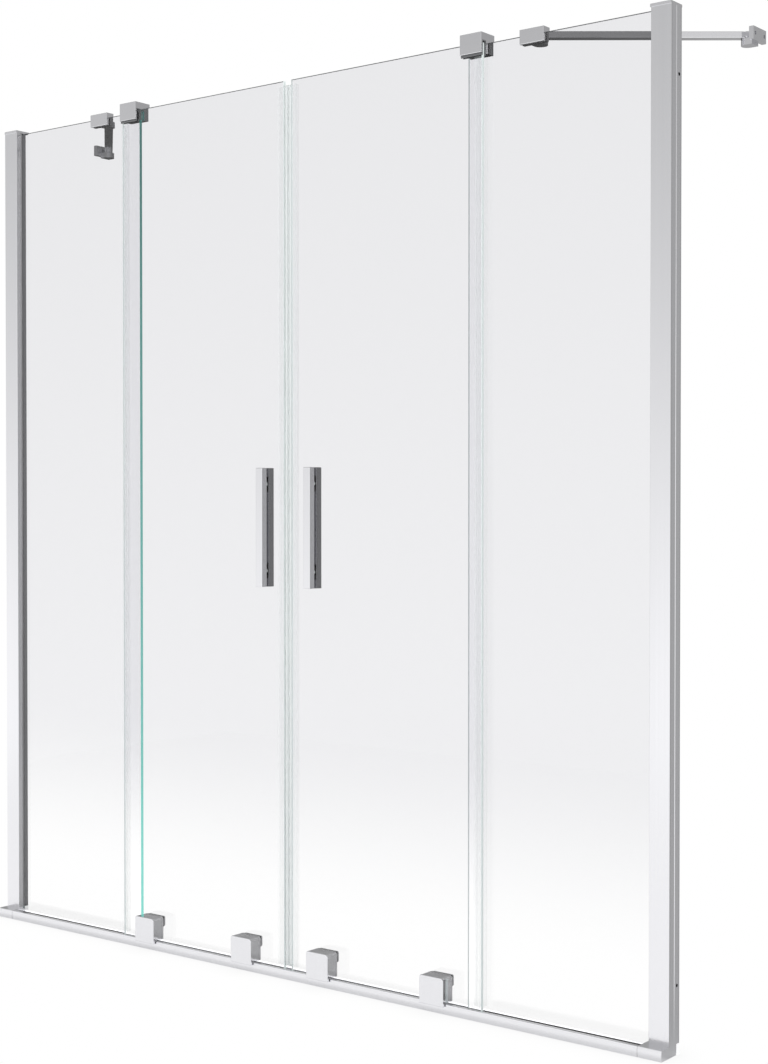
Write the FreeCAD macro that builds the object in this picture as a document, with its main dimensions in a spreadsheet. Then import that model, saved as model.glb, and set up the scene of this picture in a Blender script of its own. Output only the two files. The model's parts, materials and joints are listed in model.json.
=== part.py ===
import FreeCAD, Part
import math
import os
import re
import Sketcher

# Sliding bath screen: two fixed glass panels at the walls and two sliding doors that run on a low rail.
# Millimetres, +Z up, X along the screen, -Y towards the room. Origin: middle of the rail's underside.

DRIVING_SIZES = (
    ("screen_width", 1434, "wall to wall"),
    ("screen_height", 1500, "rail underside to the top of the wall posts"),
    ("rail_depth", 54, "bottom rail, front to back"),
    ("rail_height", 16, "top of the lip that the doors run on"),
    ("lip_thickness", 6.5, "running lip, front to back"),
    ("lip_round", 0.5, "rounding of the lip's top edges"),
    ("front_crown", 0.8, "bulge of the rail's front face"),
    ("sill_thickness", 2.2, "floor of the rail"),
    ("groove_wall", 1.6, "walls of the groove for the fixed glass"),
    ("groove_depth", 3.8, "groove walls above the rail's floor"),
    ("rail_heel", 2, "rail and end caps behind the wall posts"),
    ("rear_lip_wall", 1.5, "drip lip at the back of the rail"),
    ("rear_lip_height", 2.6, "drip lip above the rail's floor"),
    ("end_cap_length", 39, "rail end cap along the rail"),
    ("end_cap_joint", 0.4, "joint between rail and end cap"),
    ("spigot_length", 10, "end cap's tongue inside the rail"),
    ("spigot_height", 5, "end cap's tongue above the rail's floor"),
    ("spigot_fit", 0.4, "room around the tongue"),
    ("profile_width", 33, "wall post along the screen"),
    ("profile_depth", 30, "wall post front to back"),
    ("profile_wall", 1.8, "wall of the cover profile"),
    ("rear_setback", 4.7, "post behind the glass, back from its front part"),
    ("profile_round", 0.8, "rounding of the cover profile's corners"),
    ("pocket_depth", 19, "glass pocket of the cover profile"),
    ("pocket_width", 10, "glass pocket and rail groove, clear width"),
    ("channel_wall", 1.6, "wall of the wall channel"),
    ("channel_reach", 20, "flanges of the wall channel"),
    ("channel_fit", 0.3, "room between channel and cover"),
    ("drill_line_width", 2, "marking groove down the channel's back"),
    ("drill_line_depth", 0.7, "depth of the marking groove"),
    ("wall_screw_diameter", 5.2, "holes for the wall screws"),
    ("wall_screw_offset", 7.7, "wall screw holes behind the fixed glass"),
    ("wall_screw_inset", 100, "wall screw holes from the post's ends"),
    ("lock_screw_diameter", 4, "screws that lock cover to channel"),
    ("lock_head_diameter", 7.5, "their heads"),
    ("lock_head_height", 2, "their heads"),
    ("lock_screw_reach", 11, "lock screws from the wall"),
    ("lock_screw_inset", 200, "outer lock screws from the post's ends"),
    ("cap_height", 4.5, "top cap of the wall post"),
    ("cap_overhang", 1, "top cap past the post"),
    ("glass_thickness", 6, "toughened glass"),
    ("glass_arris", 0.4, "ground edges of the glass"),
    ("plane_offset", 13.5, "door glass in front of the fixed glass"),
    ("fixed_panel_width", 357, "free edge of the fixed glass from the wall"),
    ("glass_top_drop", 6.5, "fixed glass below the top of the posts"),
    ("door_top_drop", 1, "door glass below the fixed glass"),
    ("door_bottom", 10, "lower edge of the door glass"),
    ("door_overlap", 33, "door glass past the free edge of the fixed glass"),
    ("gasket_base", 1.2, "gasket under and behind the glass edge"),
    ("gasket_fit", 0.1, "room around the gaskets"),
    ("gasket_proud", 0.6, "gasket past its pocket"),
    ("pad_thickness", 0.5, "pads between glass and fittings"),
    ("guide_length", 40, "top guide block along the screen"),
    ("guide_height", 31, "top guide block"),
    ("guide_drop", 17, "top guide block below the glass top"),
    ("guide_inset", 15, "middle of the top guide block from the free edge of the fixed glass"),
    ("guide_front_wall", 3, "front leg of the top guide block"),
    ("guide_slot", 10, "slot for the door's top edge"),
    ("guide_head", 3.5, "room above the door in the slot"),
    ("guide_rear_wall", 11, "rear leg of the top guide block"),
    ("guide_round", 0.8, "rounding of the block's corners"),
    ("guide_foot_round", 1.2, "rounding of the block's feet"),
    ("liner_drop", 3.5, "door slot's liner below the block"),
    ("door_run_gap", 0.5, "door glass to the guide liner"),
    ("grub_diameter", 6, "grub screws of blocks and clamps"),
    ("grub_recess", 1, "grub screws below the surface"),
    ("grub_spacing", 20, "grub screws of a guide block"),
    ("clamp_length", 43, "bar clamp along the screen"),
    ("clamp_height", 22, "bar clamp"),
    ("clamp_drop", 13.5, "bar clamp below the glass top"),
    ("clamp_front_wall", 4.5, "front leg of the bar clamp"),
    ("clamp_rear_wall", 5.5, "rear leg of the bar clamp"),
    ("clamp_round", 0.8, "rounding of the clamp's corners"),
    ("clamp_grub_spacing", 33, "grub screws of a bar clamp"),
    ("clamp_left_reach", 252, "left bar clamp from the wall"),
    ("clamp_right_reach", 240, "right bar clamp from the wall"),
    ("bar_left_length", 318, "left support bar from pin to pin, seen from above"),
    ("bar_right_length", 328, "right support bar from pin to pin, seen from above"),
    ("bar_left_rise", 6, "left support bar's climb to the wall"),
    ("bar_right_rise", 14, "right support bar's climb to the wall"),
    ("bar_flat", 12, "level stretch of a bar at each pin"),
    ("bar_width", 16, "support bar, flat"),
    ("bar_height", 10, "support bar, upright"),
    ("bar_round", 1, "rounding of the bar's edges"),
    ("bar_below_clamp", 1, "top of the bar below the top of the clamp"),
    ("pivot_offset", 11.5, "pin from the clamp's or plate's face"),
    ("lug_radius", 11, "round lug under the bar's end"),
    ("lug_height", 10, "round lug"),
    ("pin_diameter", 6, "pivot pins"),
    ("pin_head_diameter", 11, "pivot pins"),
    ("pin_head_height", 1.6, "pivot pins"),
    ("pin_fit", 0.05, "radial room of a turning pin"),
    ("seat_fit", 0.02, "radial room of a fixed pin or screw"),
    ("swivel_gap", 0.2, "bar to its lug and to the pin's head"),
    ("plate_length", 43, "wall plate of the support bar"),
    ("plate_height", 20, "wall plate of the support bar"),
    ("plate_thickness", 8, "wall plate of the support bar"),
    ("plate_below_bar", 6, "wall plate below the bar"),
    ("plate_round", 0.8, "rounding of the wall plate's edges"),
    ("plate_hole_spacing", 30, "screw holes of the wall plate"),
    ("plate_hole_diameter", 5, "screw holes of the wall plate"),
    ("carriage_width", 46, "carriage block along the screen"),
    ("carriage_height", 45, "carriage block"),
    ("carriage_round", 5, "upper corners of the carriage block"),
    ("carriage_edge", 1.2, "rounding of the carriage's front edge"),
    ("carriage_back_plate", 4.5, "back plate of the carriage block"),
    ("carriage_groove", 0.6, "joint line round the back plate, width and depth"),
    ("carriage_inner_x", 84, "inner carriage from the middle"),
    ("carriage_outer_inset", 77, "outer carriage from the outer edge of the door glass"),
    ("leg_thickness", 4, "leg that hooks in front of the lip"),
    ("leg_overlap", 4, "leg below the top of the lip"),
    ("leg_skin", 1.8, "metal left in front of the axle"),
    ("lip_clearance", 1, "carriage to the lip"),
    ("roller_diameter", 22, "roller in the carriage"),
    ("roller_width", 5.5, "roller in the carriage"),
    ("roller_recess", 1.2, "hollow in the roller's sides"),
    ("roller_room", 1.5, "room around the roller"),
    ("rolling_gap", 0.2, "roller to the lip"),
    ("axle_diameter", 5, "roller axle"),
    ("bolt_diameter", 5, "carriage bolts and handle studs"),
    ("bolt_head_diameter", 9, "carriage bolts"),
    ("bolt_head_height", 2, "carriage bolts"),
    ("bolt_depth", 9, "carriage bolts into the carriage"),
    ("bolt_spacing", 26, "carriage bolts"),
    ("bolt_drop", 10, "carriage bolts below the carriage's top"),
    ("glass_hole_diameter", 9, "holes in the door glass"),
    ("clamp_plate_thickness", 3.5, "clamp plate behind the door glass"),
    ("clamp_plate_length", 40, "clamp plate behind the door glass"),
    ("clamp_plate_height", 18, "clamp plate behind the door glass"),
    ("clamp_plate_round", 3, "corners of the clamp plate"),
    ("handle_width", 14, "handle bars"),
    ("handle_depth", 12.5, "handle bars"),
    ("handle_length", 200, "handle bars"),
    ("handle_round", 0.8, "edges of the handle bars"),
    ("handle_x", 52.5, "handle from the middle"),
    ("handle_centre", 750, "middle of the handle above the rail's underside"),
    ("handle_fixing_spacing", 146, "handle studs"),
    ("handle_stud_depth", 8, "stud in each handle bar"),
    ("washer_length", 26, "washers between handle and glass"),
    ("washer_width", 12, "washers between handle and glass"),
    ("washer_thickness", 1, "washers between handle and glass"),
    ("seal_wall", 1, "clear seals on the door edges"),
    ("seal_leg", 13, "seal's legs along the glass"),
    ("seal_fit", 0.05, "seal to the glass"),
    ("seal_inset", 8, "seal from the ends of the door glass"),
    ("seal_tip", 2, "rear seal past the glass edge"),
    ("rear_seal_top_gap", 1.5, "rear seal below the top guide block"),
    ("fin_gap", 0.3, "rear seal's fin to the fixed glass"),
    ("meeting_gap", 0.3, "magnetic seal from the middle"),
    ("magnet_width", 6, "magnet strip"),
    ("magnet_depth", 5, "magnet strip"),
    ("magnet_fit", 0.1, "room around the magnet strip"),
)

# Places worked out from the driving sizes, in order.
WORKED_OUT = (
    ("half_width", "screen_width / 2"),
    ("fixed_inner_x", "half_width - fixed_panel_width"),
    ("guide_x", "fixed_inner_x + guide_inset"),
    ("clamp_left_x", "half_width - clamp_left_reach"),
    ("clamp_right_x", "half_width - clamp_right_reach"),
    ("door_outer_x", "fixed_inner_x + door_overlap"),
    ("carriage_outer_x", "door_outer_x - carriage_outer_inset"),
    ("rail_back", "rail_depth / 2"),
    ("rail_front", "-rail_back"),
    ("rail_end", "half_width - end_cap_length"),
    ("lip_back", "rail_front + lip_thickness"),
    ("track_y", "rail_front + lip_thickness / 2"),
    ("crown_centre", "rail_front + (rail_height ^ 2 / 4 + front_crown ^ 2) / (2 * front_crown)"),
    ("rear_lip_top", "sill_thickness + rear_lip_height"),
    ("post_inner", "half_width - profile_width"),
    ("post_back", "rail_back - rail_heel"),
    ("post_inner_rear", "post_inner + rear_setback"),
    ("post_front", "post_back - profile_depth"),
    ("post_top", "screen_height - cap_height"),
    ("fixed_y", "post_back - profile_depth / 2"),
    ("fixed_front", "fixed_y - glass_thickness / 2"),
    ("fixed_back", "fixed_y + glass_thickness / 2"),
    ("fixed_top", "screen_height - glass_top_drop"),
    ("fixed_bottom", "sill_thickness + gasket_base"),
    ("fixed_outer_x", "post_inner + pocket_depth - gasket_base - gasket_fit"),
    ("pocket_front", "fixed_y - pocket_width / 2"),
    ("pocket_back", "fixed_y + pocket_width / 2"),
    ("door_y", "fixed_y - plane_offset"),
    ("door_front", "door_y - glass_thickness / 2"),
    ("door_back", "door_y + glass_thickness / 2"),
    ("door_top", "fixed_top - door_top_drop"),
    ("seat_front", "fixed_front - pad_thickness"),
    ("seat_back", "fixed_back + pad_thickness"),
    ("seat_top", "fixed_top + pad_thickness"),
    ("guide_bottom", "fixed_top - guide_drop"),
    ("slot_front", "door_y - guide_slot / 2"),
    ("slot_back", "door_y + guide_slot / 2"),
    ("slot_top", "door_top + guide_head"),
    ("guide_front", "slot_front - guide_front_wall"),
    ("guide_back", "seat_back + guide_rear_wall"),
    ("clamp_bottom", "fixed_top - clamp_drop"),
    ("clamp_top", "clamp_bottom + clamp_height"),
    ("clamp_front", "seat_front - clamp_front_wall"),
    ("clamp_back", "seat_back + clamp_rear_wall"),
    ("bar_bottom", "clamp_top - bar_below_clamp - bar_height"),
    ("bar_top", "bar_bottom + bar_height"),
    ("lug_top", "bar_bottom - swivel_gap"),
    ("lug_bottom", "lug_top - lug_height"),
    ("pin_top", "bar_top + swivel_gap"),
    ("pivot_y", "clamp_back + pivot_offset"),
    ("plate_face", "half_width - plate_thickness"),
    ("wall_pivot_x", "plate_face - pivot_offset"),
    ("left_wall_y", "pivot_y + sqrt(bar_left_length ^ 2 - (wall_pivot_x - clamp_left_x) ^ 2)"),
    ("right_wall_y", "pivot_y + sqrt(bar_right_length ^ 2 - (wall_pivot_x - clamp_right_x) ^ 2)"),
    ("plate_bottom", "bar_bottom - plate_below_bar"),
    ("carriage_front", "rail_front - lip_clearance - leg_thickness"),
    ("carriage_back", "door_front - pad_thickness"),
    ("carriage_bottom", "rail_height - leg_overlap"),
    ("carriage_top", "carriage_bottom + carriage_height"),
    ("notch_front", "rail_front - lip_clearance"),
    ("notch_back", "lip_back + lip_clearance"),
    ("notch_top", "rail_height + lip_clearance"),
    ("axle_z", "rail_height + rolling_gap + roller_diameter / 2"),
    ("bolt_z", "carriage_top - bolt_drop"),
    ("clamp_plate_front", "door_back + pad_thickness"),
    ("clamp_plate_back", "clamp_plate_front + clamp_plate_thickness"),
    ("handle_front_back", "door_front - washer_thickness"),
    ("handle_rear_front", "door_back + washer_thickness"),
    ("door_inner_x", "meeting_gap + seal_wall + magnet_width + seal_wall + seal_fit"),
    ("seal_inside", "glass_thickness / 2 + seal_fit"),
    ("seal_outside", "seal_inside + seal_wall"),
    ("seal_bottom", "rail_height + lip_clearance"),
    ("rear_seal_top", "guide_bottom - liner_drop - rear_seal_top_gap"),
)

SIDES = (("left", -1), ("right", 1))
PLANES = {"x": "YZ_Plane", "y": "XZ_Plane", "z": "XY_Plane"}

document = FreeCAD.newDocument("sliding_bath_screen")
parts = []


def fill_sheet(name, rows):
    """A sheet with one named row per size: what it is, and its value."""
    sheet = document.addObject("Spreadsheet::Sheet", name)
    for row, (alias, content, note) in enumerate(rows, 1):
        sheet.set(f"A{row}", note)
        sheet.set(f"B{row}", content)
        sheet.setAlias(f"B{row}", alias)
    return sheet


def named_in(owners, text):
    """The expression text with each name given its sheet."""
    return re.sub(r"[a-z_]\w*", lambda match: owners.get(match[0], match[0]), text)


driving = {alias: f"Sizes.{alias}" for alias, *_ in DRIVING_SIZES}
everything = {**driving, **{alias: f"Layout.{alias}" for alias, _ in WORKED_OUT}}
fill_sheet("Sizes", [(alias, str(value), note) for alias, value, note in DRIVING_SIZES])
layout = fill_sheet("Layout", [(alias, "=" + named_in(driving, text), alias) for alias, text in WORKED_OUT])
document.recompute()


def bound(text):
    return named_in(everything, text)


def value(text):
    """What an expression comes to at the present sizes."""
    result = layout.evalExpression(bound(text))
    return float(getattr(result, "Value", result))


def bind(thing, **properties):
    for name, text in properties.items():
        thing.setExpression(name.replace("__", "."), bound(text))


def finish(thing, label):
    """Give a finished sub-part its name and put it on the list of parts to write."""
    thing.Label = label
    parts.append(thing)
    return thing


def group(label, members):
    """Several separate solids of one kind as one sub-part."""
    compound = document.addObject("Part::Compound", "group")
    compound.Links = members
    return finish(compound, label)


def new_body(name):
    return document.addObject("PartDesign::Body", name)


def hold(sketch, geometry, point, x_text=None, y_text=None):
    """Tie a sketch point's coordinates to expressions."""
    for kind, text in (("DistanceX", x_text), ("DistanceY", y_text)):
        if text is not None:
            number = sketch.addConstraint(Sketcher.Constraint(kind, geometry, point, value(text)))
            sketch.setExpression(f"Constraints[{number}]", bound(text))


def arc_centre(start, end, axis, coordinate):
    """The point with one given coordinate that lies as far from start as from end."""
    middle, chord = (start + end) * 0.5, end - start
    if axis == "x":
        return FreeCAD.Vector(coordinate, middle.y - (coordinate - middle.x) * chord.x / chord.y, 0)
    return FreeCAD.Vector(middle.x - (coordinate - middle.y) * chord.y / chord.x, coordinate, 0)


def draw_outline(sketch, corners):
    """Closed outline, counter-clockwise where it has arcs.

    A corner is (x, y), or (x, y, "x" or "y", centre) where an arc leads to the next corner and
    that coordinate of its centre is given."""
    first = sketch.GeometryCount
    places = [FreeCAD.Vector(value(corner[0]), value(corner[1]), 0) for corner in corners]
    for index, corner in enumerate(corners):
        start, end = places[index], places[(index + 1) % len(corners)]
        if len(corner) == 2:
            sketch.addGeometry(Part.LineSegment(start, end))
            continue
        centre = arc_centre(start, end, corner[2], value(corner[3]))
        angles = [math.atan2(spot.y - centre.y, spot.x - centre.x) for spot in (start, end)]
        if angles[1] < angles[0]:
            angles[1] += 2 * math.pi
        circle = Part.Circle(centre, FreeCAD.Vector(0, 0, 1), (start - centre).Length)
        sketch.addGeometry(Part.ArcOfCircle(circle, *angles))
    for index, corner in enumerate(corners):
        here, following = first + index, first + (index + 1) % len(corners)
        sketch.addConstraint(Sketcher.Constraint("Coincident", here, 2, following, 1))
        hold(sketch, here, 1, corner[0], corner[1])
        if len(corner) > 2:
            hold(sketch, here, 3, **{f"{corner[2]}_text": corner[3]})


def draw_circle(sketch, x_text, y_text, radius_text):
    centre = FreeCAD.Vector(value(x_text), value(y_text), 0)
    circle = Part.Circle(centre, FreeCAD.Vector(0, 0, 1), value(radius_text))
    number = sketch.addGeometry(circle)
    hold(sketch, number, 3, x_text, y_text)
    radius = sketch.addConstraint(Sketcher.Constraint("Radius", number, value(radius_text)))
    sketch.setExpression(f"Constraints[{radius}]", bound(radius_text))


def extrude(body, kind, axis, low, high, outlines=(), circles=()):
    """Add or take away what an outline sweeps from low to high along an axis.

    Outlines are in (Y, Z) for X, in (X, Z) for Y and in (X, Y) for Z."""
    sketch = body.newObject("Sketcher::SketchObject", "outline")
    role = PLANES[axis]
    plane = next(feature for feature in body.Origin.OriginFeatures if feature.Role == role)
    sketch.AttachmentSupport = (plane, [""])
    sketch.MapMode = "FlatFace"
    start = f"-({high})" if axis == "y" else low
    bind(sketch, AttachmentOffset__Base__z=start)
    for corners in outlines:
        draw_outline(sketch, corners)
    for circle in circles:
        draw_circle(sketch, *circle)
    feature = body.newObject(f"PartDesign::{kind}", kind.lower())
    feature.Profile = sketch
    feature.Reversed = kind == "Pocket"
    bind(feature, Length=f"({high}) - ({low})")
    return feature


def add(body, *sweep, **shapes):
    return extrude(body, "Pad", *sweep, **shapes)


def cut(body, *sweep, **shapes):
    return extrude(body, "Pocket", *sweep, **shapes)


def rectangle(x_low, x_high, y_low, y_high):
    return [(x_low, y_low), (x_high, y_low), (x_high, y_high), (x_low, y_high)]


def span(side, near, far):
    """Low and high X of a stretch that lies between two distances from the middle."""
    return (near, far) if side > 0 else (f"-({far})", f"-({near})")


def round_edges(body, radius, chosen, kind="Fillet"):
    """Round or chamfer the edges of a body that a test on their two end points picks."""
    document.recompute()
    base = body.Tip
    names = []
    for number, edge in enumerate(base.Shape.Edges, 1):
        ends = [vertex.Point for vertex in edge.Vertexes]
        if chosen(edge, ends[0], ends[-1]):
            names.append(f"Edge{number}")
    dressing = body.newObject(f"PartDesign::{kind}", kind.lower())
    dressing.Base = (base, names)
    bind(dressing, **{"Radius" if kind == "Fillet" else "Size": radius})
    return dressing


def near(first, second):
    return abs(first - second) < 1e-3


def along(axis):
    """Test for edges that run along one axis."""
    others = [name for name in "xyz" if name != axis]

    def test(edge, start, end):
        return all(near(getattr(start, name), getattr(end, name)) for name in others)
    return test


def in_plane(axis, text):
    """Test for edges that lie in a plane square to an axis."""
    level = value(text)

    def test(edge, start, end):
        return all(near(getattr(spot, axis), level) for spot in (start, end, edge.CenterOfMass))
    return test


def rod(axis, low, high, first, second, radius):
    """Plain round bar; its place across the axis is given in the order X, Y, Z."""
    body = new_body("rod")
    add(body, axis, low, high, circles=[(first, second, radius)])
    return body


def headed_rod(axis, low, high, head_low, head_high, first, second, radius, head_radius):
    body = rod(axis, low, high, first, second, radius)
    add(body, axis, head_low, head_high, circles=[(first, second, head_radius)])
    return body


# Wall posts

def drill_line(side):
    """Marking groove down the wall side, at the middle of the post's depth."""
    wall = f"{side} * half_width"
    return [(wall, "fixed_y - drill_line_width / 2"), (wall, "fixed_y + drill_line_width / 2"),
            (f"{side} * (half_width - drill_line_depth)", "fixed_y")]


def wall_channel(name, side):
    body = new_body("wall_channel")
    front, back = "(post_front + profile_wall + channel_fit)", "(post_back - profile_wall - channel_fit)"
    section = [
        ("0", front),
        ("channel_reach", front),
        ("channel_reach", f"{front} + channel_wall"),
        ("channel_wall", f"{front} + channel_wall"),
        ("channel_wall", f"{back} - channel_wall"),
        ("channel_reach", f"{back} - channel_wall"),
        ("channel_reach", back),
        ("0", back),
    ]
    outline = [(f"{side} * (half_width - ({depth}))", y_text) for depth, y_text in section]
    add(body, "z", "rail_height", "post_top", outlines=[outline])
    cut(body, "z", "rail_height", "post_top", outlines=[drill_line(side)])
    low, high = span(side, "half_width - channel_wall", "half_width")
    heights = ("wall_screw_inset", "screen_height - wall_screw_inset")
    holes = [("fixed_y + wall_screw_offset", height, "wall_screw_diameter / 2") for height in heights]
    cut(body, "x", low, high, circles=holes)
    cut(body, "y", f"{back} - channel_wall", back, circles=lock_screw_holes(side))
    return finish(body, f"wall_channel_{name}")


def lock_screw_places(side):
    heights = ("lock_screw_inset", "screen_height / 2", "screen_height - lock_screw_inset")
    return [(f"{side} * (half_width - lock_screw_reach)", height) for height in heights]


def lock_screw_holes(side):
    return [(*place, "lock_screw_diameter / 2 + seat_fit") for place in lock_screw_places(side)]


def cover_profile(name, side):
    body = new_body("cover_profile")
    wall = "profile_width - profile_wall"
    rear = "profile_width - rear_setback"
    floor = "profile_width - pocket_depth"
    section = [
        ("0", "post_front"),
        ("profile_width", "post_front"),
        ("profile_width", "pocket_front"),
        (floor, "pocket_front"),
        (floor, "pocket_back"),
        (rear, "pocket_back"),
        (rear, "post_back"),
        ("0", "post_back"),
        ("0", "post_back - profile_wall"),
        (f"{rear} - profile_wall", "post_back - profile_wall"),
        (f"{rear} - profile_wall", "pocket_back + profile_wall"),
        (f"{floor} - profile_wall", "pocket_back + profile_wall"),
        (f"{floor} - profile_wall", "pocket_front - profile_wall"),
        (wall, "pocket_front - profile_wall"),
        (wall, "post_front + profile_wall"),
        ("0", "post_front + profile_wall"),
    ]
    outline = [(f"{side} * (half_width - ({depth}))", y_text) for depth, y_text in section]
    add(body, "z", "rail_height", "post_top", outlines=[outline])
    corners = [(value(f"{side} * {x_text}"), value(y_text))
               for x_text, y_text in (("post_inner", "post_front"), ("post_inner_rear", "post_back"))]
    round_edges(body, "profile_round", lambda edge, start, end: along("z")(edge, start, end)
                and any(near(start.x, x) and near(start.y, y) for x, y in corners))
    cut(body, "y", "post_back - profile_wall", "post_back", circles=lock_screw_holes(side))
    return finish(body, f"cover_profile_{name}")


def lock_screws():
    return group("profile_lock_screws", [
        headed_rod("y", "post_back - profile_wall - channel_fit - channel_wall", "post_back", "post_back",
                   "post_back + lock_head_height", *place, "lock_screw_diameter / 2",
                   "lock_head_diameter / 2")
        for _, side in SIDES for place in lock_screw_places(side)])


def top_cap(side):
    body = new_body("top_cap")
    low, high = span(side, "post_inner - cap_overhang", "half_width")
    add(body, "z", "post_top", "screen_height",
        outlines=[rectangle(low, high, "post_front - cap_overhang", "post_back + cap_overhang")])
    round_edges(body, "profile_round", in_plane("z", "screen_height"))
    return body


# Bottom rail

def crowned_front():
    """The two front corners of the rail's section, joined by its slightly round front face."""
    edge = "rail_front + front_crown"
    return [(edge, "rail_height", "x", "crown_centre"), (edge, "0")]


def bottom_rail():
    body = new_body("bottom_rail")
    groove_top = "sill_thickness + groove_depth"
    section = crowned_front() + [
        ("rail_back", "0"),
        ("rail_back", "rear_lip_top"),
        ("rail_back - rear_lip_wall", "rear_lip_top"),
        ("rail_back - rear_lip_wall", "sill_thickness"),
        ("pocket_back + groove_wall", "sill_thickness"),
        ("pocket_back + groove_wall", groove_top),
        ("pocket_back", groove_top),
        ("pocket_back", "sill_thickness"),
        ("pocket_front", "sill_thickness"),
        ("pocket_front", groove_top),
        ("pocket_front - groove_wall", groove_top),
        ("pocket_front - groove_wall", "sill_thickness"),
        ("lip_back", "sill_thickness"),
        ("lip_back", "rail_height"),
    ]
    end = "rail_end - end_cap_joint"
    add(body, "x", f"-({end})", end, outlines=[section])
    level = value("rail_height")
    round_edges(body, "lip_round", lambda edge, start, end: along("x")(edge, start, end)
                and near(start.z, level))
    return finish(body, "bottom_rail")


def rail_end_cap(name, side):
    body = new_body("rail_end_cap")
    section = crowned_front() + [
        ("rail_back", "0"),
        ("rail_back", "rear_lip_top"),
        ("post_back", "rear_lip_top"),
        ("post_back", "rail_height"),
    ]
    add(body, "x", *span(side, "rail_end", "half_width"), outlines=[section])
    cut(body, "z", "0", "rail_height", outlines=[drill_line(side)])
    cut(body, "x", *span(side, "rail_end", "post_inner_rear"),
        outlines=[rectangle("pocket_back", "rail_back", "rear_lip_top", "rail_height")])
    cut(body, "x", *span(side, "rail_end", "post_inner + pocket_depth"),
        outlines=[rectangle("pocket_front", "pocket_back", "sill_thickness", "rail_height")])
    tongue = rectangle("lip_back + spigot_fit", "pocket_front - groove_wall - spigot_fit",
                       "sill_thickness + spigot_fit", "sill_thickness + spigot_height")
    add(body, "x", *span(side, "rail_end - spigot_length", "rail_end"), outlines=[tongue])
    return finish(body, f"rail_end_cap_{name}")


# Fixed glass and what holds it

def pane(name, side, front, back, x_near, x_far, low, high, holes=()):
    body = new_body("pane")
    add(body, "y", front, back, outlines=[rectangle(*span(side, x_near, x_far), low, high)], circles=holes)
    round_edges(body, "glass_arris", lambda edge, start, end: len(edge.Vertexes) == 2
                and near(start.y, end.y), kind="Chamfer")
    return finish(body, name)


def channel_strip(side_axis, low, high, across_low, across_high, floor, glass_low, glass_high, rim, bed,
                  rear_rim=None):
    """Gasket of U section round a glass edge: across is its breadth, floor to rim its depth."""
    body = new_body("strip")
    rear_rim = rear_rim or rim
    corners = [(across_low, floor), (across_high, floor), (across_high, rear_rim), (glass_high, rear_rim),
               (glass_high, bed), (glass_low, bed), (glass_low, rim), (across_low, rim)]
    if side_axis == "z":
        corners = [(depth, across) for across, depth in corners]
    add(body, side_axis, low, high, outlines=[corners])
    return body


def glazing_gasket(side):
    floor = f"{side} * (post_inner + pocket_depth - gasket_fit)"
    rim, rear_rim = [f"{side} * ({edge} - gasket_proud)" for edge in ("post_inner", "post_inner_rear")]
    return channel_strip("z", "rail_height", "post_top", "pocket_front + gasket_fit",
                         "pocket_back - gasket_fit", floor, "fixed_front", "fixed_back", rim,
                         f"{side} * fixed_outer_x", rear_rim)


def sill_gasket(side):
    return channel_strip("x", *span(side, "fixed_inner_x", "fixed_outer_x"), "pocket_front + gasket_fit",
                         "pocket_back - gasket_fit", "sill_thickness", "fixed_front", "fixed_back",
                         "sill_thickness + groove_depth + gasket_proud", "fixed_bottom")


def saddle_pad(side, near_x, far_x, low):
    """Pad over the top edge of the fixed glass, inside a guide block or a clamp."""
    return channel_strip("x", *span(side, near_x, far_x), "seat_front", "seat_back", "seat_top",
                         "fixed_front", "fixed_back", low, "fixed_top")


def middle_of(side, centre, length):
    return span(side, f"{centre} - {length} / 2", f"{centre} + {length} / 2")


def top_guide(name, side):
    body = new_body("top_guide")
    top = "guide_bottom + guide_height"
    section = [
        ("guide_front", "guide_bottom"),
        ("slot_front", "guide_bottom"),
        ("slot_front", "slot_top"),
        ("slot_back", "slot_top"),
        ("slot_back", "guide_bottom"),
        ("seat_front", "guide_bottom"),
        ("seat_front", "seat_top"),
        ("seat_back", "seat_top"),
        ("seat_back", "guide_bottom"),
        ("guide_back", "guide_bottom"),
        ("guide_back", top),
        ("guide_front", top),
    ]
    add(body, "x", *middle_of(side, "guide_x", "guide_length"), outlines=[section])
    front, back, foot = value("guide_front"), value("guide_back"), value("guide_bottom")
    round_edges(body, "guide_round", lambda edge, start, end: near(start.y, end.y)
                and (near(start.y, front) or near(start.y, back)))
    feet = [value(place) for place in ("slot_front", "slot_back", "seat_front", "seat_back")]
    round_edges(body, "guide_foot_round", lambda edge, start, end: along("x")(edge, start, end)
                and near(start.z, foot) and any(near(start.y, place) for place in feet))
    holes = [(*place, "grub_diameter / 2 + seat_fit") for place in guide_grub_places(side)]
    cut(body, "y", "seat_back", "guide_back", circles=holes)
    return finish(body, f"top_guide_{name}")


def guide_grub_places(side):
    return [(f"{side} * guide_x + {step} * grub_spacing / 2", "fixed_top - guide_drop / 2")
            for step in (-1, 1)]


def guide_liner(side):
    """Nylon lining of the door's slot, with running room for the glass."""
    return channel_strip("x", *middle_of(side, "guide_x", "guide_length"), "slot_front", "slot_back",
                         "slot_top", "door_front - door_run_gap", "door_back + door_run_gap",
                         "guide_bottom - liner_drop", "door_top + guide_head / 2")


# Support bars

def clamp_grub_places(side, centre):
    return [(f"{side} * {centre} + {step} * clamp_grub_spacing / 2", "fixed_top - clamp_drop / 2")
            for step in (-1, 1)]


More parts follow.
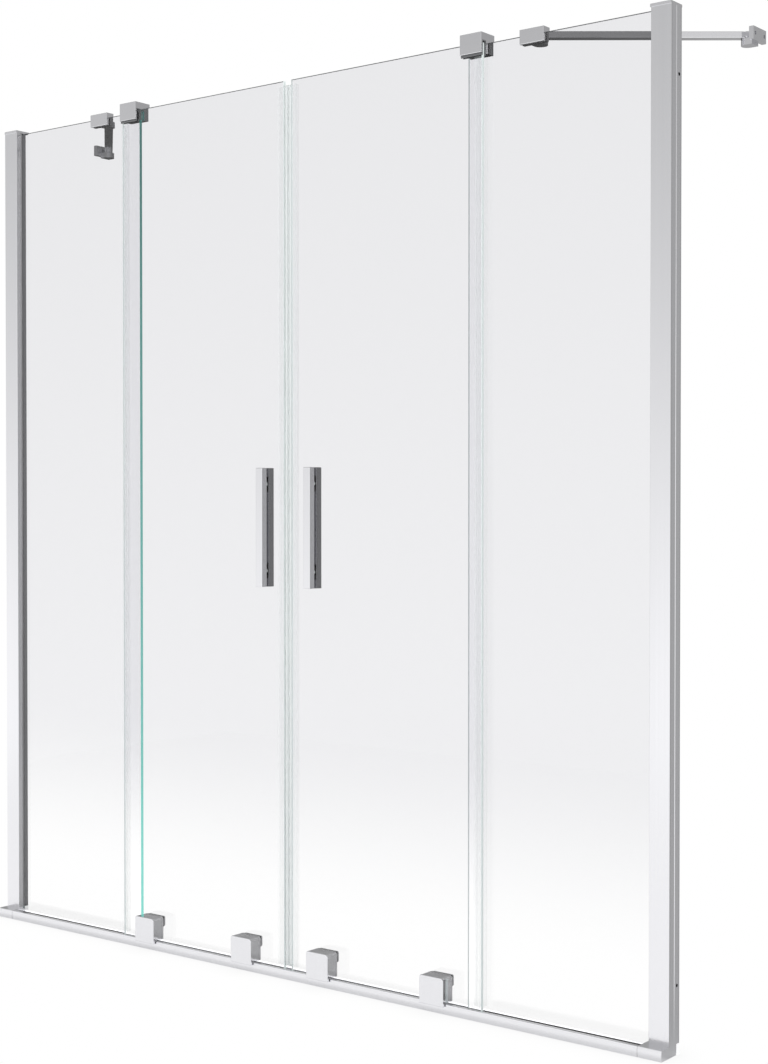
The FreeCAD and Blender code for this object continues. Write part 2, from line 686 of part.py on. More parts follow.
def bar_clamp(name, side, centre):
    body = new_body("bar_clamp")
    section = [
        ("clamp_front", "clamp_bottom"),
        ("seat_front", "clamp_bottom"),
        ("seat_front", "seat_top"),
        ("seat_back", "seat_top"),
        ("seat_back", "clamp_bottom"),
        ("clamp_back", "clamp_bottom"),
        ("clamp_back", "clamp_top"),
        ("clamp_front", "clamp_top"),
    ]
    add(body, "x", *middle_of(side, centre, "clamp_length"), outlines=[section])
    front = value("clamp_front")
    round_edges(body, "clamp_round", lambda edge, start, end: near(start.y, front) and near(end.y, front))
    middle = f"{side} * {centre}"
    lug = [
        (f"{middle} + lug_radius", "clamp_back"),
        (f"{middle} + lug_radius", "pivot_y", "y", "pivot_y"),
        (f"{middle} - lug_radius", "pivot_y"),
        (f"{middle} - lug_radius", "clamp_back"),
    ]
    hole = (middle, "pivot_y", "pin_diameter / 2 + seat_fit")
    add(body, "z", "lug_bottom", "lug_top", outlines=[lug], circles=[hole])
    holes = [(*place, "grub_diameter / 2 + seat_fit") for place in clamp_grub_places(side, centre)]
    cut(body, "y", "seat_back", "clamp_back", circles=holes)
    return finish(body, f"bar_clamp_{name}")


def grub_screws():
    guides = [rod("y", "seat_back", "guide_back - grub_recess", *place, "grub_diameter / 2")
              for _, side in SIDES for place in guide_grub_places(side)]
    clamps = [rod("y", "seat_back", "clamp_back - grub_recess", *place, "grub_diameter / 2")
              for name, side in SIDES for place in clamp_grub_places(side, f"clamp_{name}_x")]
    return group("grub_screws", guides + clamps)


def pivot_pin(x_text, y_text, rise):
    top = f"pin_top + {rise}"
    return headed_rod("z", f"lug_bottom + {rise}", top, top, f"{top} + pin_head_height", x_text, y_text,
                      "pin_diameter / 2", "pin_head_diameter / 2")


def support_bar(name, side, centre):
    """Flat bar that climbs from the clamp to the wall and lies level at both pins."""
    body = new_body("support_bar")
    length, rise, half = f"bar_{name}_length", f"bar_{name}_rise", "bar_width / 2"
    outline = [("0", f"-{half}"), (length, f"-{half}", "x", length), (length, half), ("0", half, "x", "0")]
    add(body, "z", "bar_bottom", f"bar_top + {rise}", outlines=[outline])
    climb_start, climb_end = "bar_flat", f"{length} - bar_flat"
    above = [
        ("-bar_width", "bar_top"),
        (climb_start, "bar_top"),
        (climb_end, f"bar_top + {rise}"),
        ("-bar_width", f"bar_top + {rise}"),
    ]
    below = [
        (climb_start, "bar_bottom"),
        (f"{length} + bar_width", "bar_bottom"),
        (f"{length} + bar_width", f"bar_bottom + {rise}"),
        (climb_end, f"bar_bottom + {rise}"),
    ]
    cut(body, "y", "-bar_width", "bar_width", outlines=[above])
    cut(body, "y", "-bar_width", "bar_width", outlines=[below])
    round_edges(body, "bar_round", lambda edge, start, end: not along("z")(edge, start, end)
                and not (along("y")(edge, start, end) and edge.Curve.TypeId == "Part::GeomLine"))
    bore = "pin_diameter / 2 + pin_fit"
    cut(body, "z", "bar_bottom", f"bar_top + {rise}", circles=[("0", "0", bore), (length, "0", bore)])
    turn = f"acos((wall_pivot_x - {centre}) / {length})"
    body.Placement = FreeCAD.Placement(FreeCAD.Vector(), FreeCAD.Rotation(FreeCAD.Vector(0, 0, 1), 1))
    bind(body, Placement__Base__x=f"{side} * {centre}", Placement__Base__y="pivot_y",
         Placement__Rotation__Angle=turn if side > 0 else f"180 deg - {turn}")
    return finish(body, f"support_bar_{name}")


def wall_plate(name, side):
    body = new_body("wall_plate")
    middle, rise = f"{name}_wall_y", f"bar_{name}_rise"
    bottom = f"plate_bottom + {rise}"
    plate = rectangle(f"{middle} - plate_length / 2", f"{middle} + plate_length / 2",
                      bottom, f"{bottom} + plate_height")
    add(body, "x", *span(side, "plate_face", "half_width"), outlines=[plate])
    round_edges(body, "plate_round", in_plane("x", f"{side} * plate_face"))
    face, pivot = f"{side} * plate_face", f"{side} * wall_pivot_x"
    near_y, far_y = (f"{middle} + {side} * lug_radius", f"{middle} - {side} * lug_radius")
    lug = [(pivot, near_y, "x", pivot), (pivot, far_y), (face, far_y), (face, near_y)]
    add(body, "z", f"lug_bottom + {rise}", f"lug_top + {rise}", outlines=[lug],
        circles=[(pivot, middle, "pin_diameter / 2 + seat_fit")])
    holes = [(f"{middle} + {step} * plate_hole_spacing / 2", f"{bottom} + plate_height / 2",
              "plate_hole_diameter / 2") for step in (-1, 1)]
    cut(body, "x", *span(side, "plate_face", "half_width"), circles=holes)
    return finish(body, f"wall_plate_{name}")


# Doors

def carriage_centres(side):
    return [f"{side} * carriage_{place}_x" for place in ("inner", "outer")]


def bolt_places(centre):
    return [(f"{centre} + {step} * bolt_spacing / 2", "bolt_z") for step in (-1, 1)]


def handle_fixings(side):
    return [(f"{side} * handle_x", f"handle_centre + {step} * handle_fixing_spacing / 2")
            for step in (-1, 1)]


def door_glass(name, side):
    drilled = handle_fixings(side)
    for centre in carriage_centres(side):
        drilled = drilled + bolt_places(centre)
    holes = [(*place, "glass_hole_diameter / 2") for place in drilled]
    return pane(f"door_glass_{name}", side, "door_front", "door_back", "door_inner_x", "door_outer_x",
                "door_bottom", "door_top", holes)


def magnetic_seal(name, side):
    """Clear holder that clips on the door's meeting edge, and the magnet strip in its chamber."""
    body = new_body("magnetic_seal")
    edge, tip = "door_inner_x - seal_fit", "door_inner_x + seal_leg"
    section = [("meeting_gap", "-seal_outside"), (tip, "-seal_outside"), (tip, "-seal_inside"),
               (edge, "-seal_inside"), (edge, "seal_inside"), (tip, "seal_inside"),
               (tip, "seal_outside"), ("meeting_gap", "seal_outside")]
    outline = [(f"{side} * ({x_text})", f"door_y + ({y_text})") for x_text, y_text in section]
    chamber = span(side, "meeting_gap + seal_wall", "meeting_gap + seal_wall + magnet_width")
    room = rectangle(*chamber, "door_y - magnet_depth / 2", "door_y + magnet_depth / 2")
    add(body, "z", "seal_bottom", "door_top - seal_inset", outlines=[outline, room])
    finish(body, f"magnetic_seal_{name}")
    strip = new_body("magnet_strip")
    low, high = chamber
    bar = rectangle(f"{low} + magnet_fit", f"{high} - magnet_fit", "door_y - magnet_depth / 2 + magnet_fit",
                    "door_y + magnet_depth / 2 - magnet_fit")
    add(strip, "z", "seal_bottom", "door_top - seal_inset", outlines=[bar])
    finish(strip, f"magnet_strip_{name}")


def rear_seal(name, side):
    """Clear seal on the door's outer edge, with a fin that closes the gap to the fixed glass."""
    body = new_body("rear_seal")
    edge, root = "door_outer_x + seal_fit", "door_outer_x - seal_leg"
    tip, fin = f"{edge} + seal_tip", "fixed_front - fin_gap - door_y"
    section = [(root, "-seal_outside"), (tip, "-seal_outside"), (tip, fin), (f"{tip} - seal_wall", fin),
               (f"{tip} - seal_wall", "seal_outside"), (root, "seal_outside"), (root, "seal_inside"),
               (edge, "seal_inside"), (edge, "-seal_inside"), (root, "-seal_inside")]
    outline = [(f"{side} * ({x_text})", f"door_y + ({y_text})") for x_text, y_text in section]
    add(body, "z", "seal_bottom", "rear_seal_top", outlines=[outline])
    return finish(body, f"rear_seal_{name}")


def handle_bar(label, side, front, back, hole_low, hole_high):
    body = new_body("handle_bar")
    across = middle_of(side, "handle_x", "handle_width")
    low, high = "handle_centre - handle_length / 2", "handle_centre + handle_length / 2"
    add(body, "z", low, high, outlines=[rectangle(*across, front, back)])
    round_edges(body, "handle_round", lambda edge, start, end: True)
    holes = [(*place, "bolt_diameter / 2 + seat_fit") for place in handle_fixings(side)]
    cut(body, "y", hole_low, hole_high, circles=holes)
    return finish(body, label)


def handle_washer(low, high, x_text, z_text):
    """Washer with round ends, as long as it needs to be to steady the handle."""
    body = new_body("washer")
    half, reach = "washer_width / 2", "(washer_length - washer_width) / 2"
    top, bottom = f"{z_text} + {reach}", f"{z_text} - {reach}"
    outline = [(f"{x_text} + {half}", bottom), (f"{x_text} + {half}", top, "y", top),
               (f"{x_text} - {half}", top), (f"{x_text} - {half}", bottom, "y", bottom)]
    add(body, "y", low, high, outlines=[outline], circles=[(x_text, z_text, "bolt_diameter / 2 + seat_fit")])
    return body


def handle(name, side):
    front_stud, rear_stud = "handle_front_back - handle_stud_depth", "handle_rear_front + handle_stud_depth"
    handle_bar(f"handle_front_bar_{name}", side, "handle_front_back - handle_depth", "handle_front_back",
               front_stud, "handle_front_back")
    handle_bar(f"handle_rear_bar_{name}", side, "handle_rear_front", "handle_rear_front + handle_depth",
               "handle_rear_front", rear_stud)
    group(f"handle_studs_{name}", [rod("y", front_stud, rear_stud, *place, "bolt_diameter / 2")
                                   for place in handle_fixings(side)])
    gaps = (("handle_front_back", "door_front"), ("door_back", "handle_rear_front"))
    group(f"handle_washers_{name}", [handle_washer(*gap, *place)
                                     for gap in gaps for place in handle_fixings(side)])


def carriage(label, centre):
    """Block that hooks over the rail's lip, with a pocket for its roller."""
    body = new_body("carriage")
    left, right = f"{centre} - carriage_width / 2", f"{centre} + carriage_width / 2"
    add(body, "y", "carriage_front", "carriage_back",
        outlines=[rectangle(left, right, "carriage_bottom", "carriage_top")])
    top = value("carriage_top")
    round_edges(body, "carriage_round", lambda edge, start, end: along("y")(edge, start, end)
                and near(start.z, top))
    round_edges(body, "carriage_edge", in_plane("y", "carriage_front"))
    low, high = f"{left} + carriage_groove", f"{right} - carriage_groove"
    shoulder, crest = "carriage_top - carriage_round", "carriage_top - carriage_groove"
    arch = [
        (left, "carriage_bottom"),
        (left, "carriage_top"),
        (right, "carriage_top"),
        (right, "carriage_bottom"),
        (high, "carriage_bottom"),
        (high, shoulder, "x", f"{right} - carriage_round"),
        (f"{right} - carriage_round", crest),
        (f"{left} + carriage_round", crest, "x", f"{left} + carriage_round"),
        (low, shoulder),
        (low, "carriage_bottom"),
    ]
    joint_line = "carriage_back - carriage_back_plate"
    cut(body, "y", joint_line, f"{joint_line} + carriage_groove", outlines=[arch])
    notch = [("notch_front", "carriage_bottom"), ("carriage_back", "carriage_bottom"),
             ("carriage_back", "notch_top"), ("notch_front", "notch_top")]
    cut(body, "x", left, right, outlines=[notch])
    half_room = "roller_diameter / 2 + roller_room"
    pocket = rectangle(f"{centre} - ({half_room})", f"{centre} + ({half_room})", "carriage_bottom",
                       f"axle_z + {half_room}")
    cut(body, "y", "notch_front", "notch_back", outlines=[pocket])
    cut(body, "y", "carriage_front + leg_skin", "carriage_back",
        circles=[(centre, "axle_z", "axle_diameter / 2 + seat_fit")])
    cut(body, "y", "carriage_back - bolt_depth", "carriage_back",
        circles=[(*place, "bolt_diameter / 2 + seat_fit") for place in bolt_places(centre)])
    return finish(body, label)


def roller(label, centre):
    body = new_body("roller")
    sides = ("track_y - roller_width / 2", "track_y + roller_width / 2")
    tread, bore = "roller_diameter / 2", "axle_diameter / 2 + pin_fit"
    add(body, "y", *sides, circles=[(centre, "axle_z", tread), (centre, "axle_z", bore)])
    hollow = [(centre, "axle_z", f"{tread} * 3 / 4"), (centre, "axle_z", "axle_diameter")]
    cut(body, "y", sides[0], f"{sides[0]} + roller_recess", circles=hollow)
    cut(body, "y", f"{sides[1]} - roller_recess", sides[1], circles=hollow)
    return finish(body, label)


def carriage_fixings(name, side):
    """Clamp plates behind the glass, pads, bolts and axles of a door's two carriages."""
    plates, pads, bolts, axles = [], [], [], []
    low, high = "bolt_z - clamp_plate_height / 2", "bolt_z + clamp_plate_height / 2"
    for centre in carriage_centres(side):
        ends = (f"{centre} - clamp_plate_length / 2", f"{centre} + clamp_plate_length / 2")
        places = bolt_places(centre)
        plate = new_body("clamp_plate")
        add(plate, "y", "clamp_plate_front", "clamp_plate_back", outlines=[rectangle(*ends, low, high)],
            circles=[(*place, "bolt_diameter / 2 + seat_fit") for place in places])
        round_edges(plate, "clamp_plate_round", lambda edge, start, end: len(edge.Vertexes) == 2
                    and along("y")(edge, start, end) and edge.Curve.TypeId == "Part::GeomLine")
        cut(plate, "y", "clamp_plate_back - bolt_head_height", "clamp_plate_back",
            circles=[(*place, "bolt_head_diameter / 2 + seat_fit") for place in places])
        plates.append(plate)
        for front, back in (("carriage_back", "door_front"), ("door_back", "clamp_plate_front")):
            pad = new_body("pad")
            add(pad, "y", front, back, outlines=[rectangle(*ends, low, high)],
                circles=[(*place, "bolt_diameter / 2 + seat_fit") for place in places])
            pads.append(pad)
        bolts += [headed_rod("y", "carriage_back - bolt_depth", "clamp_plate_back - bolt_head_height",
                             "clamp_plate_back - bolt_head_height", "clamp_plate_back", *place,
                             "bolt_diameter / 2", "bolt_head_diameter / 2") for place in places]
        axles.append(rod("y", "carriage_front + leg_skin", "carriage_back", centre, "axle_z",
                         "axle_diameter / 2"))
    group(f"carriage_clamp_plates_{name}", plates)
    group(f"carriage_pads_{name}", pads)
    group(f"carriage_bolts_{name}", bolts)
    group(f"roller_axles_{name}", axles)


def fixed_side(name, side):
    centre = f"clamp_{name}_x"
    wall_channel(name, side)
    cover_profile(name, side)
    rail_end_cap(name, side)
    pane(f"fixed_glass_{name}", side, "fixed_front", "fixed_back", "fixed_inner_x", "fixed_outer_x",
         "fixed_bottom", "fixed_top")
    top_guide(name, side)
    bar_clamp(name, side, centre)
    support_bar(name, side, centre)
    wall_plate(name, side)
    pin = pivot_pin(f"{side} * wall_pivot_x", f"{name}_wall_y", f"bar_{name}_rise")
    finish(pin, f"wall_pivot_pin_{name}")


def sliding_door(name, side):
    door_glass(name, side)
    magnetic_seal(name, side)
    rear_seal(name, side)
    handle(name, side)
    for place, centre in zip(("inner", "outer"), carriage_centres(side)):
        carriage(f"carriage_{name}_{place}", centre)
        roller(f"roller_{name}_{place}", centre)
    carriage_fixings(name, side)


def shared_pieces():
    bottom_rail()
    lock_screws()
    grub_screws()
    group("profile_top_caps", [top_cap(side) for _, side in SIDES])
    group("glazing_gaskets", [glazing_gasket(side) for _, side in SIDES])
    group("sill_gaskets", [sill_gasket(side) for _, side in SIDES])
    group("guide_liners", [guide_liner(side) for _, side in SIDES])
    pads = []
    for name, side in SIDES:
        pads.append(saddle_pad(side, "fixed_inner_x", "guide_x + guide_length / 2", "guide_bottom"))
        clamp = f"clamp_{name}_x"
        pads.append(saddle_pad(side, f"{clamp} - clamp_length / 2", f"{clamp} + clamp_length / 2",
                               "clamp_bottom"))
    group("glass_pads", pads)
    group("clamp_pivot_pins", [pivot_pin(f"{side} * clamp_{name}_x", "pivot_y", "0")
                               for name, side in SIDES])


def check_and_write():
    document.recompute()
    for thing in document.Objects:
        if {"Invalid", "Error"} & set(thing.State):
            raise RuntimeError(f"{thing.Label} did not compute: {thing.State}")
    os.makedirs("parts", exist_ok=True)
    for part in parts:
        if part.Shape.isNull() or not part.Shape.isValid():
            raise RuntimeError(f"{part.Label} has no valid shape")
    for part in parts:
        part.Shape.exportStep(f"parts/{part.Label}.step")


shared_pieces()
for side_name, side_sign in SIDES:
    fixed_side(side_name, side_sign)
    sliding_door(side_name, side_sign)
check_and_write()
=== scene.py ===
"""Sliding bath screen: finishes for glass, metal and seals, screws with recesses, and a white studio."""

import json
import math

import bpy
from bpy.props import FloatProperty, FloatVectorProperty, IntProperty, PointerProperty
from bpy.types import Operator, Panel, PropertyGroup
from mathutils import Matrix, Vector


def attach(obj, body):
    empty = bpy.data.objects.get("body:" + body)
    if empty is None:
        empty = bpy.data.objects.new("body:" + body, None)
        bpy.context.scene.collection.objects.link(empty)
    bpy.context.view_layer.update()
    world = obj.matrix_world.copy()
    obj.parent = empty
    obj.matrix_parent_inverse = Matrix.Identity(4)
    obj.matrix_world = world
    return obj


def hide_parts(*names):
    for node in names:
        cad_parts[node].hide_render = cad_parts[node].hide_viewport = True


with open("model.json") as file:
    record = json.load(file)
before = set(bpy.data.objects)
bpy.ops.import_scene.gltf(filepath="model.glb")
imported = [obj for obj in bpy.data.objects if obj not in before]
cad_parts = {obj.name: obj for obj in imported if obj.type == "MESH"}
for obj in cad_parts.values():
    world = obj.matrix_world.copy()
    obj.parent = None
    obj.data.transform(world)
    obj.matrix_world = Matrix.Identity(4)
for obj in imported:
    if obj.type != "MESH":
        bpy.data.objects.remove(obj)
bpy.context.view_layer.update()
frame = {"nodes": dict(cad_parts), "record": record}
MM = 0.001

bl_info = {
    "name": "Sliding bath screen",
    "version": (1, 0, 0),
    "blender": (4, 5, 0),
    "location": "3D View > Sidebar > Bath screen",
    "description": "Finishes, fixings and studio for a sliding bath screen",
    "category": "Object",
}

# Brightness of the studio as the metal mirrors it: (rise of the ray, level) from low to high.
RISE_SPAN = (-0.5, 0.5)
FRONT_LEFT_LEVELS = ((-0.29, 1.0), (-0.11, 1.14), (0.11, 0.74), (0.27, 0.53))
FRONT_RIGHT_LEVELS = ((-0.2, 1.25), (0.05, 1.25), (0.2, 0.78), (0.3, 0.7))
REAR_LEFT_LEVELS = ((-0.1, 0.09), (0.1, 0.3))
REAR_RIGHT_LEVEL = 0.4
# Where the studio's sides pass into each other, by how far the ray points right or to the rear.
FRONT_LEFT_TO_RIGHT = (-0.2, 0.3)
REAR_LEFT_TO_RIGHT = (-0.53, -0.43)
FRONT_TO_REAR = (-0.3, 0.2)
# The share of light that metal behind a pane mirrors, and the white that shows through a second pane.
BEHIND_GLASS_LEVEL = 0.32
SECOND_PANE_WHITE = 1.13
# Surfaces that a ray passes in one pane.
PANE_SURFACES = 2
# A ray's bounces are counted in whole numbers; these lie between none and one, and between one and two.
NO_BOUNCE = 0.5
ONE_BOUNCE = 1.5
# The floor's size and grey, and the light that metal sees on it in front of, behind and beside the screen.
FLOOR_SIZE = 4.5
FLOOR_GREY = "D0D0D0"
FLOOR_TO_METAL = 0.68
FLOOR_BEHIND_TO_METAL = 0.15
FLOOR_BESIDE_TO_METAL = 0.08
# Where these parts of the floor pass into each other, along Y and along X.
FLOOR_FRONT_TO_REAR = (-0.06, 0)
FLOOR_REAR_TO_BESIDE = (0.7, 0.8)
# How far the screen's shadow reaches over the floor, the white that is left in it, and its samples.
SHADOW_REACH = 0.05
SHADOW_WHITE = 0.88
SHADOW_SAMPLES = 4
# The low card's corners, near and then far, each pair from left to right, how high it hangs and its light.
CARD_CORNERS = ((-1.25, 0.465), (0.374, 0.465), (-2.725, 1.7), (-0.347, 1.7))
CARD_HEIGHT = 0.187
CARD_LIGHT = 1.1
# Where the large front light stands, what it points at, and its width and height.
KEY_PLACE = (2.6, -3.6, 3.2)
KEY_AIM = (0, 0, 0.7)
KEY_SIZE = (2.4, 1.6)
# The camera's sensor in millimetres, and how far it sees in metres.
SENSOR_WIDTH = 36
FARTHEST = 50
# The values that noise mostly stays between.
NOISE_LOW = 0.3
NOISE_HIGH = 0.7
# The tray behind the rail's groove: its middle along Y, how far it reaches both ways, and the strength of
# its painted light, a white emission that stands in for light bounced between the groove's walls.
TRAY_MIDDLE = 21.8 * MM
TRAY_REACH = 5.1 * MM
TRAY_PAINTED_GLOW = 0.6
# How far the chrome of the clamp plates goes from a clear mirror (0) to matt (1).
CLAMP_SATIN = 0.7
# Heights between which the panes' faces are painted whiter towards the foot, and over which their upright
# edges are painted from bright at the foot to dark at the top: painted light.
FOOT_PAINTED_WHITENING = (0.1, 0.43)
EDGE_PAINTED_FADE = (0.1, 1.4)
# A pane's face points at least this far along Y, and its top and bottom edges further than this along Z.
FACE_POINTS = 0.9
LEVEL_POINTS = 0.6
# The ground edges of a pane: how much light passes, how rough they are and the strength of their painted
# glow.
EDGE_CLEAR = 0.25
EDGE_ROUGHNESS = 0.35
EDGE_PAINTED_GLOW = 0.5
# A cross recess: width and rounding of its blades as shares of their length.
BLADE_WIDTH = 0.24
BLADE_ROUND = 0.1
# Solids of one node that lie further apart than this are separate screws.
SCREW_GAP = 0.5 * MM
# Screws are alike when their sizes in metres agree to this many decimals.
ALIKE_DECIMALS = 5
# Axes that screws stand along.
ALONG_Y = 1
ALONG_Z = 2
# Faces of a screw that meet at less than this angle are shaded as one.
SMOOTH_ANGLE = math.radians(35)


def linear(hex_colour):
    """An sRGB hex colour as linear red, green and blue."""
    values = [int(hex_colour[place:place + 2], 16) / 255 for place in (0, 2, 4)]
    return tuple(v / 12.92 if v <= 0.04045 else ((v + 0.055) / 1.055) ** 2.4 for v in values)


def colour_property(name, description, hex_colour):
    return FloatVectorProperty(name=name, description=description, subtype="COLOR", size=3, min=0, max=1,
                               default=linear(hex_colour))


def length_property(name, description, millimetres):
    return FloatProperty(name=name, description=description, subtype="DISTANCE", unit="LENGTH", min=0,
                         default=millimetres * MM, precision=5)


class ScreenFinishes(PropertyGroup):
    """Colours of the screen's materials."""
    aluminium: colour_property("Anodised aluminium", "Wall posts and bottom rail", "EDEDF0")
    chrome: colour_property("Chrome", "Cast fittings, bars, handles, pivot pins and lock screws", "E9E9EC")
    steel: colour_property("Zinc-plated steel", "Grub screws, bolts, studs and axles", "B9BABD")
    glass_high: colour_property("Glass, upper part", "Tint of the panes above the foot", "EDEDEF")
    # Painted light: the panes are painted whiter at the foot, though the glass has one tint all the way up.
    glass_foot_painted_white: colour_property("Glass, foot", "Tint of the panes at the foot", "FFFFFF")
    # Painted light and shade: the open edge is the pane's own teal, painted dark at the top and bright at
    # the foot.
    edge_high: colour_property("Open edge, top", "Ground edge of the left fixed pane at the top", "3C827A")
    edge_low: colour_property("Open edge, foot", "Ground edge of the left fixed pane at the foot", "80F6E6")
    # Painted light: the edges of the other panes are painted pale, near white, though they are the same
    # ground glass as the open edge.
    covered_high: colour_property("Covered edge, top", "Edges of the other panes at the top", "DDE5E4")
    covered_low: colour_property("Covered edge, foot", "Edges of the other panes at the foot", "DCE4E4")
    # Painted shade: the top and bottom edges of the panes are painted dark grey.
    top_edge_painted_shade: colour_property("Glass top edges", "Top edges of all panes", "3E4042")
    seal: colour_property("Clear seal", "Extruded seals on the doors", "F2FAFA")
    magnet: colour_property("Magnet strip", "Strips inside the meeting seals", "F8FBFB")
    gasket: colour_property("Gasket", "Glazing and sill gaskets and glass pads", "B8B8BA")
    nylon: colour_property("Acetal", "Rollers", "EDEDE9")
    liner: colour_property("Liner", "Lining of the top guides", "77787A")
    rubber: colour_property("Rubber", "Washers between handles and glass", "0C0C0D")
    pad: colour_property("Carriage pads", "Rubber pads between carriage and glass", "8C8D8F")


class ScreenFixings(PropertyGroup):
    """Sizes of the screws' heads, shafts and drive recesses."""
    grub_socket: length_property("Grub screw socket", "Across the flats", 3)
    grub_depth: length_property("Grub screw socket depth", "Depth of a grub screw's socket", 2)
    pin_head: length_property("Pin head", "Height of a pivot pin's head", 1.6)
    pin_shaft: length_property("Pin shaft", "Radius of a pivot pin below its head", 3)
    pin_socket: length_property("Pin socket", "Across the flats", 4)
    bolt_head: length_property("Bolt head", "Height of a carriage bolt's head", 2)
    bolt_shaft: length_property("Bolt shaft", "Radius of a carriage bolt below its head", 2.5)
    bolt_socket: length_property("Bolt socket", "Across the flats", 4)
    lock_head: length_property("Lock screw head", "Height of a lock screw's head", 2)
    lock_shaft: length_property("Lock screw shaft", "Radius of a lock screw below its head", 2)
    cross_length: length_property("Cross recess", "Length of the cross in a lock screw", 4)
    recess_depth: length_property("Recess depth", "Depth of the recesses in heads", 1)
    rim: length_property("Rim", "Rounding of the heads' rims", 0.35)
    sides: IntProperty(name="Sides", description="Facets round a screw", default=48, min=12, max=96)


class ScreenStage(PropertyGroup):
    """Camera and light."""
    eye: FloatVectorProperty(name="Camera", description="Where the camera stands", subtype="XYZ", size=3,
                             unit="LENGTH", default=(1.92604, -2.21058, 0.78899), precision=5)
    turn: FloatProperty(name="Turn", description="Camera's turn about the vertical", subtype="ANGLE",
                        unit="ROTATION", default=math.radians(38.003))
    dip: FloatProperty(name="Dip", description="Camera's tilt below level", subtype="ANGLE", unit="ROTATION",
                       default=math.radians(0.907))
    lens: FloatProperty(name="Lens", description="Focal length", subtype="DISTANCE_CAMERA", unit="CAMERA",
                        default=59.33)
    key: FloatProperty(name="Key light", description="Power of the large front light", subtype="POWER",
                       unit="POWER", default=30, min=0)


def add_node(tree, kind, inputs=(), **settings):
    """Add one node with its settings; its sockets get values or links."""
    made = tree.nodes.new(kind)
    for name, setting in settings.items():
        setattr(made, name, setting)
    for socket, source in dict(inputs).items():
        if isinstance(source, bpy.types.NodeSocket):
            tree.links.new(source, made.inputs[socket])
        else:
            made.inputs[socket].default_value = source
    return made


def start_material(name):
    """An empty material, its node tree and the Object coordinates of what it is on."""
    material = bpy.data.materials.new(name)
    material.use_nodes = True
    tree = material.node_tree
    tree.nodes.clear()
    place = add_node(tree, "ShaderNodeTexCoord").outputs["Object"]
    return material, tree, place


def close_material(material, tree, shader):
    add_node(tree, "ShaderNodeOutputMaterial", {"Surface": shader.outputs[0]})
    return material


def rgba(colour):
    return (*colour, 1)


def darker(colour, share):
    """A share of a colour's light."""
    return rgba([share * channel for channel in colour])


def anodised_aluminium(name, colour, run, tray=0):
    """Extruded and bright-anodised: a soft mirror with faint die lines along the extrusion.

    Die lines are some 0.3 mm apart; they are drawn at 2 mm so that they show at all. On the rail, a band of
    the
    tray behind the groove has painted light: it gives out white light of strength tray, which stands in for
    light bounced between the groove's walls, on top of what it mirrors."""
    material, tree, place = start_material(name)
    line_spacing, line_length = 2 * MM, 900 * MM
    scale = [1 / line_length if axis == run else 1 / line_spacing for axis in "xyz"]
    stretched = add_node(tree, "ShaderNodeMapping", {"Vector": place, "Scale": scale})
    lines = add_node(tree, "ShaderNodeTexNoise", {"Vector": stretched.outputs[0], "Scale": 1, "Detail": 3})
    gloss = add_node(tree, "ShaderNodeMapRange", {
        "Value": lines.outputs[0], "From Min": NOISE_LOW, "From Max": NOISE_HIGH,
        "To Min": 0.17, "To Max": 0.25})
    relief = add_node(tree, "ShaderNodeBump", {"Height": lines.outputs[0], "Strength": 0.05,
                                               "Distance": 0.02 * MM})
    shader = add_node(tree, "ShaderNodeBsdfPrincipled", {
        "Base Color": rgba(colour), "Metallic": 1, "Roughness": gloss.outputs[0],
        "Normal": relief.outputs[0]})
    if tray:
        # Painted light: the band of the tray behind the groove gives out white light, standing in for light
        # bounced between its walls.
        depth = add_node(tree, "ShaderNodeSeparateXYZ", {"Vector": place}).outputs["Y"]
        inside = add_node(tree, "ShaderNodeMath", {0: depth, 1: TRAY_MIDDLE, 2: TRAY_REACH},
                          operation="COMPARE")
        painted_tray_glow = add_node(tree, "ShaderNodeMath", {0: inside.outputs[0], 1: tray}, operation="MULTIPLY")
        shader.inputs["Emission Color"].default_value = (1, 1, 1, 1)
        tree.links.new(painted_tray_glow.outputs[0], shader.inputs["Emission Strength"])
    return close_material(material, tree, shader)


def polished_chrome(name, colour, satin=0):
    """Chrome plate on polished zinc castings: a clear mirror with slow waves left by the buffing wheel.

    Satin plate, on castings that aren't polished, is pale and throws the light in all directions."""
    material, tree, place = start_material(name)
    wave_size = 30 * MM
    waves = add_node(tree, "ShaderNodeTexNoise", {"Vector": place, "Scale": 1 / wave_size, "Detail": 2})
    gloss = add_node(tree, "ShaderNodeMapRange", {
        "Value": waves.outputs[0], "From Min": NOISE_LOW, "From Max": NOISE_HIGH,
        "To Min": 0.08 + satin / 2, "To Max": 0.14 + satin / 2})
    relief = add_node(tree, "ShaderNodeBump", {"Height": waves.outputs[0], "Strength": 0.06,
                                               "Distance": 0.1 * MM})
    shader = add_node(tree, "ShaderNodeBsdfPrincipled", {
        "Base Color": rgba(colour), "Metallic": 1 - satin, "Roughness": gloss.outputs[0],
        "Normal": relief.outputs[0]})
    return close_material(material, tree, shader)


def zinc_plated_steel(name, colour):
    """Turned and zinc-plated: grey, finely mottled and half matt."""
    material, tree, place = start_material(name)
    crystal_size = 1.5 * MM
    mottle = add_node(tree, "ShaderNodeTexNoise", {"Vector": place, "Scale": 1 / crystal_size, "Detail": 4})
    tone = add_node(tree, "ShaderNodeMix", {
        "Factor": mottle.outputs[0], "A": darker(colour, 0.82), "B": rgba(colour)}, data_type="RGBA")
    gloss = add_node(tree, "ShaderNodeMapRange", {
        "Value": mottle.outputs[0], "To Min": 0.28, "To Max": 0.42})
    shader = add_node(tree, "ShaderNodeBsdfPrincipled", {
        "Base Color": tone.outputs["Result"], "Metallic": 1, "Roughness": gloss.outputs[0]})
    return close_material(material, tree, shader)


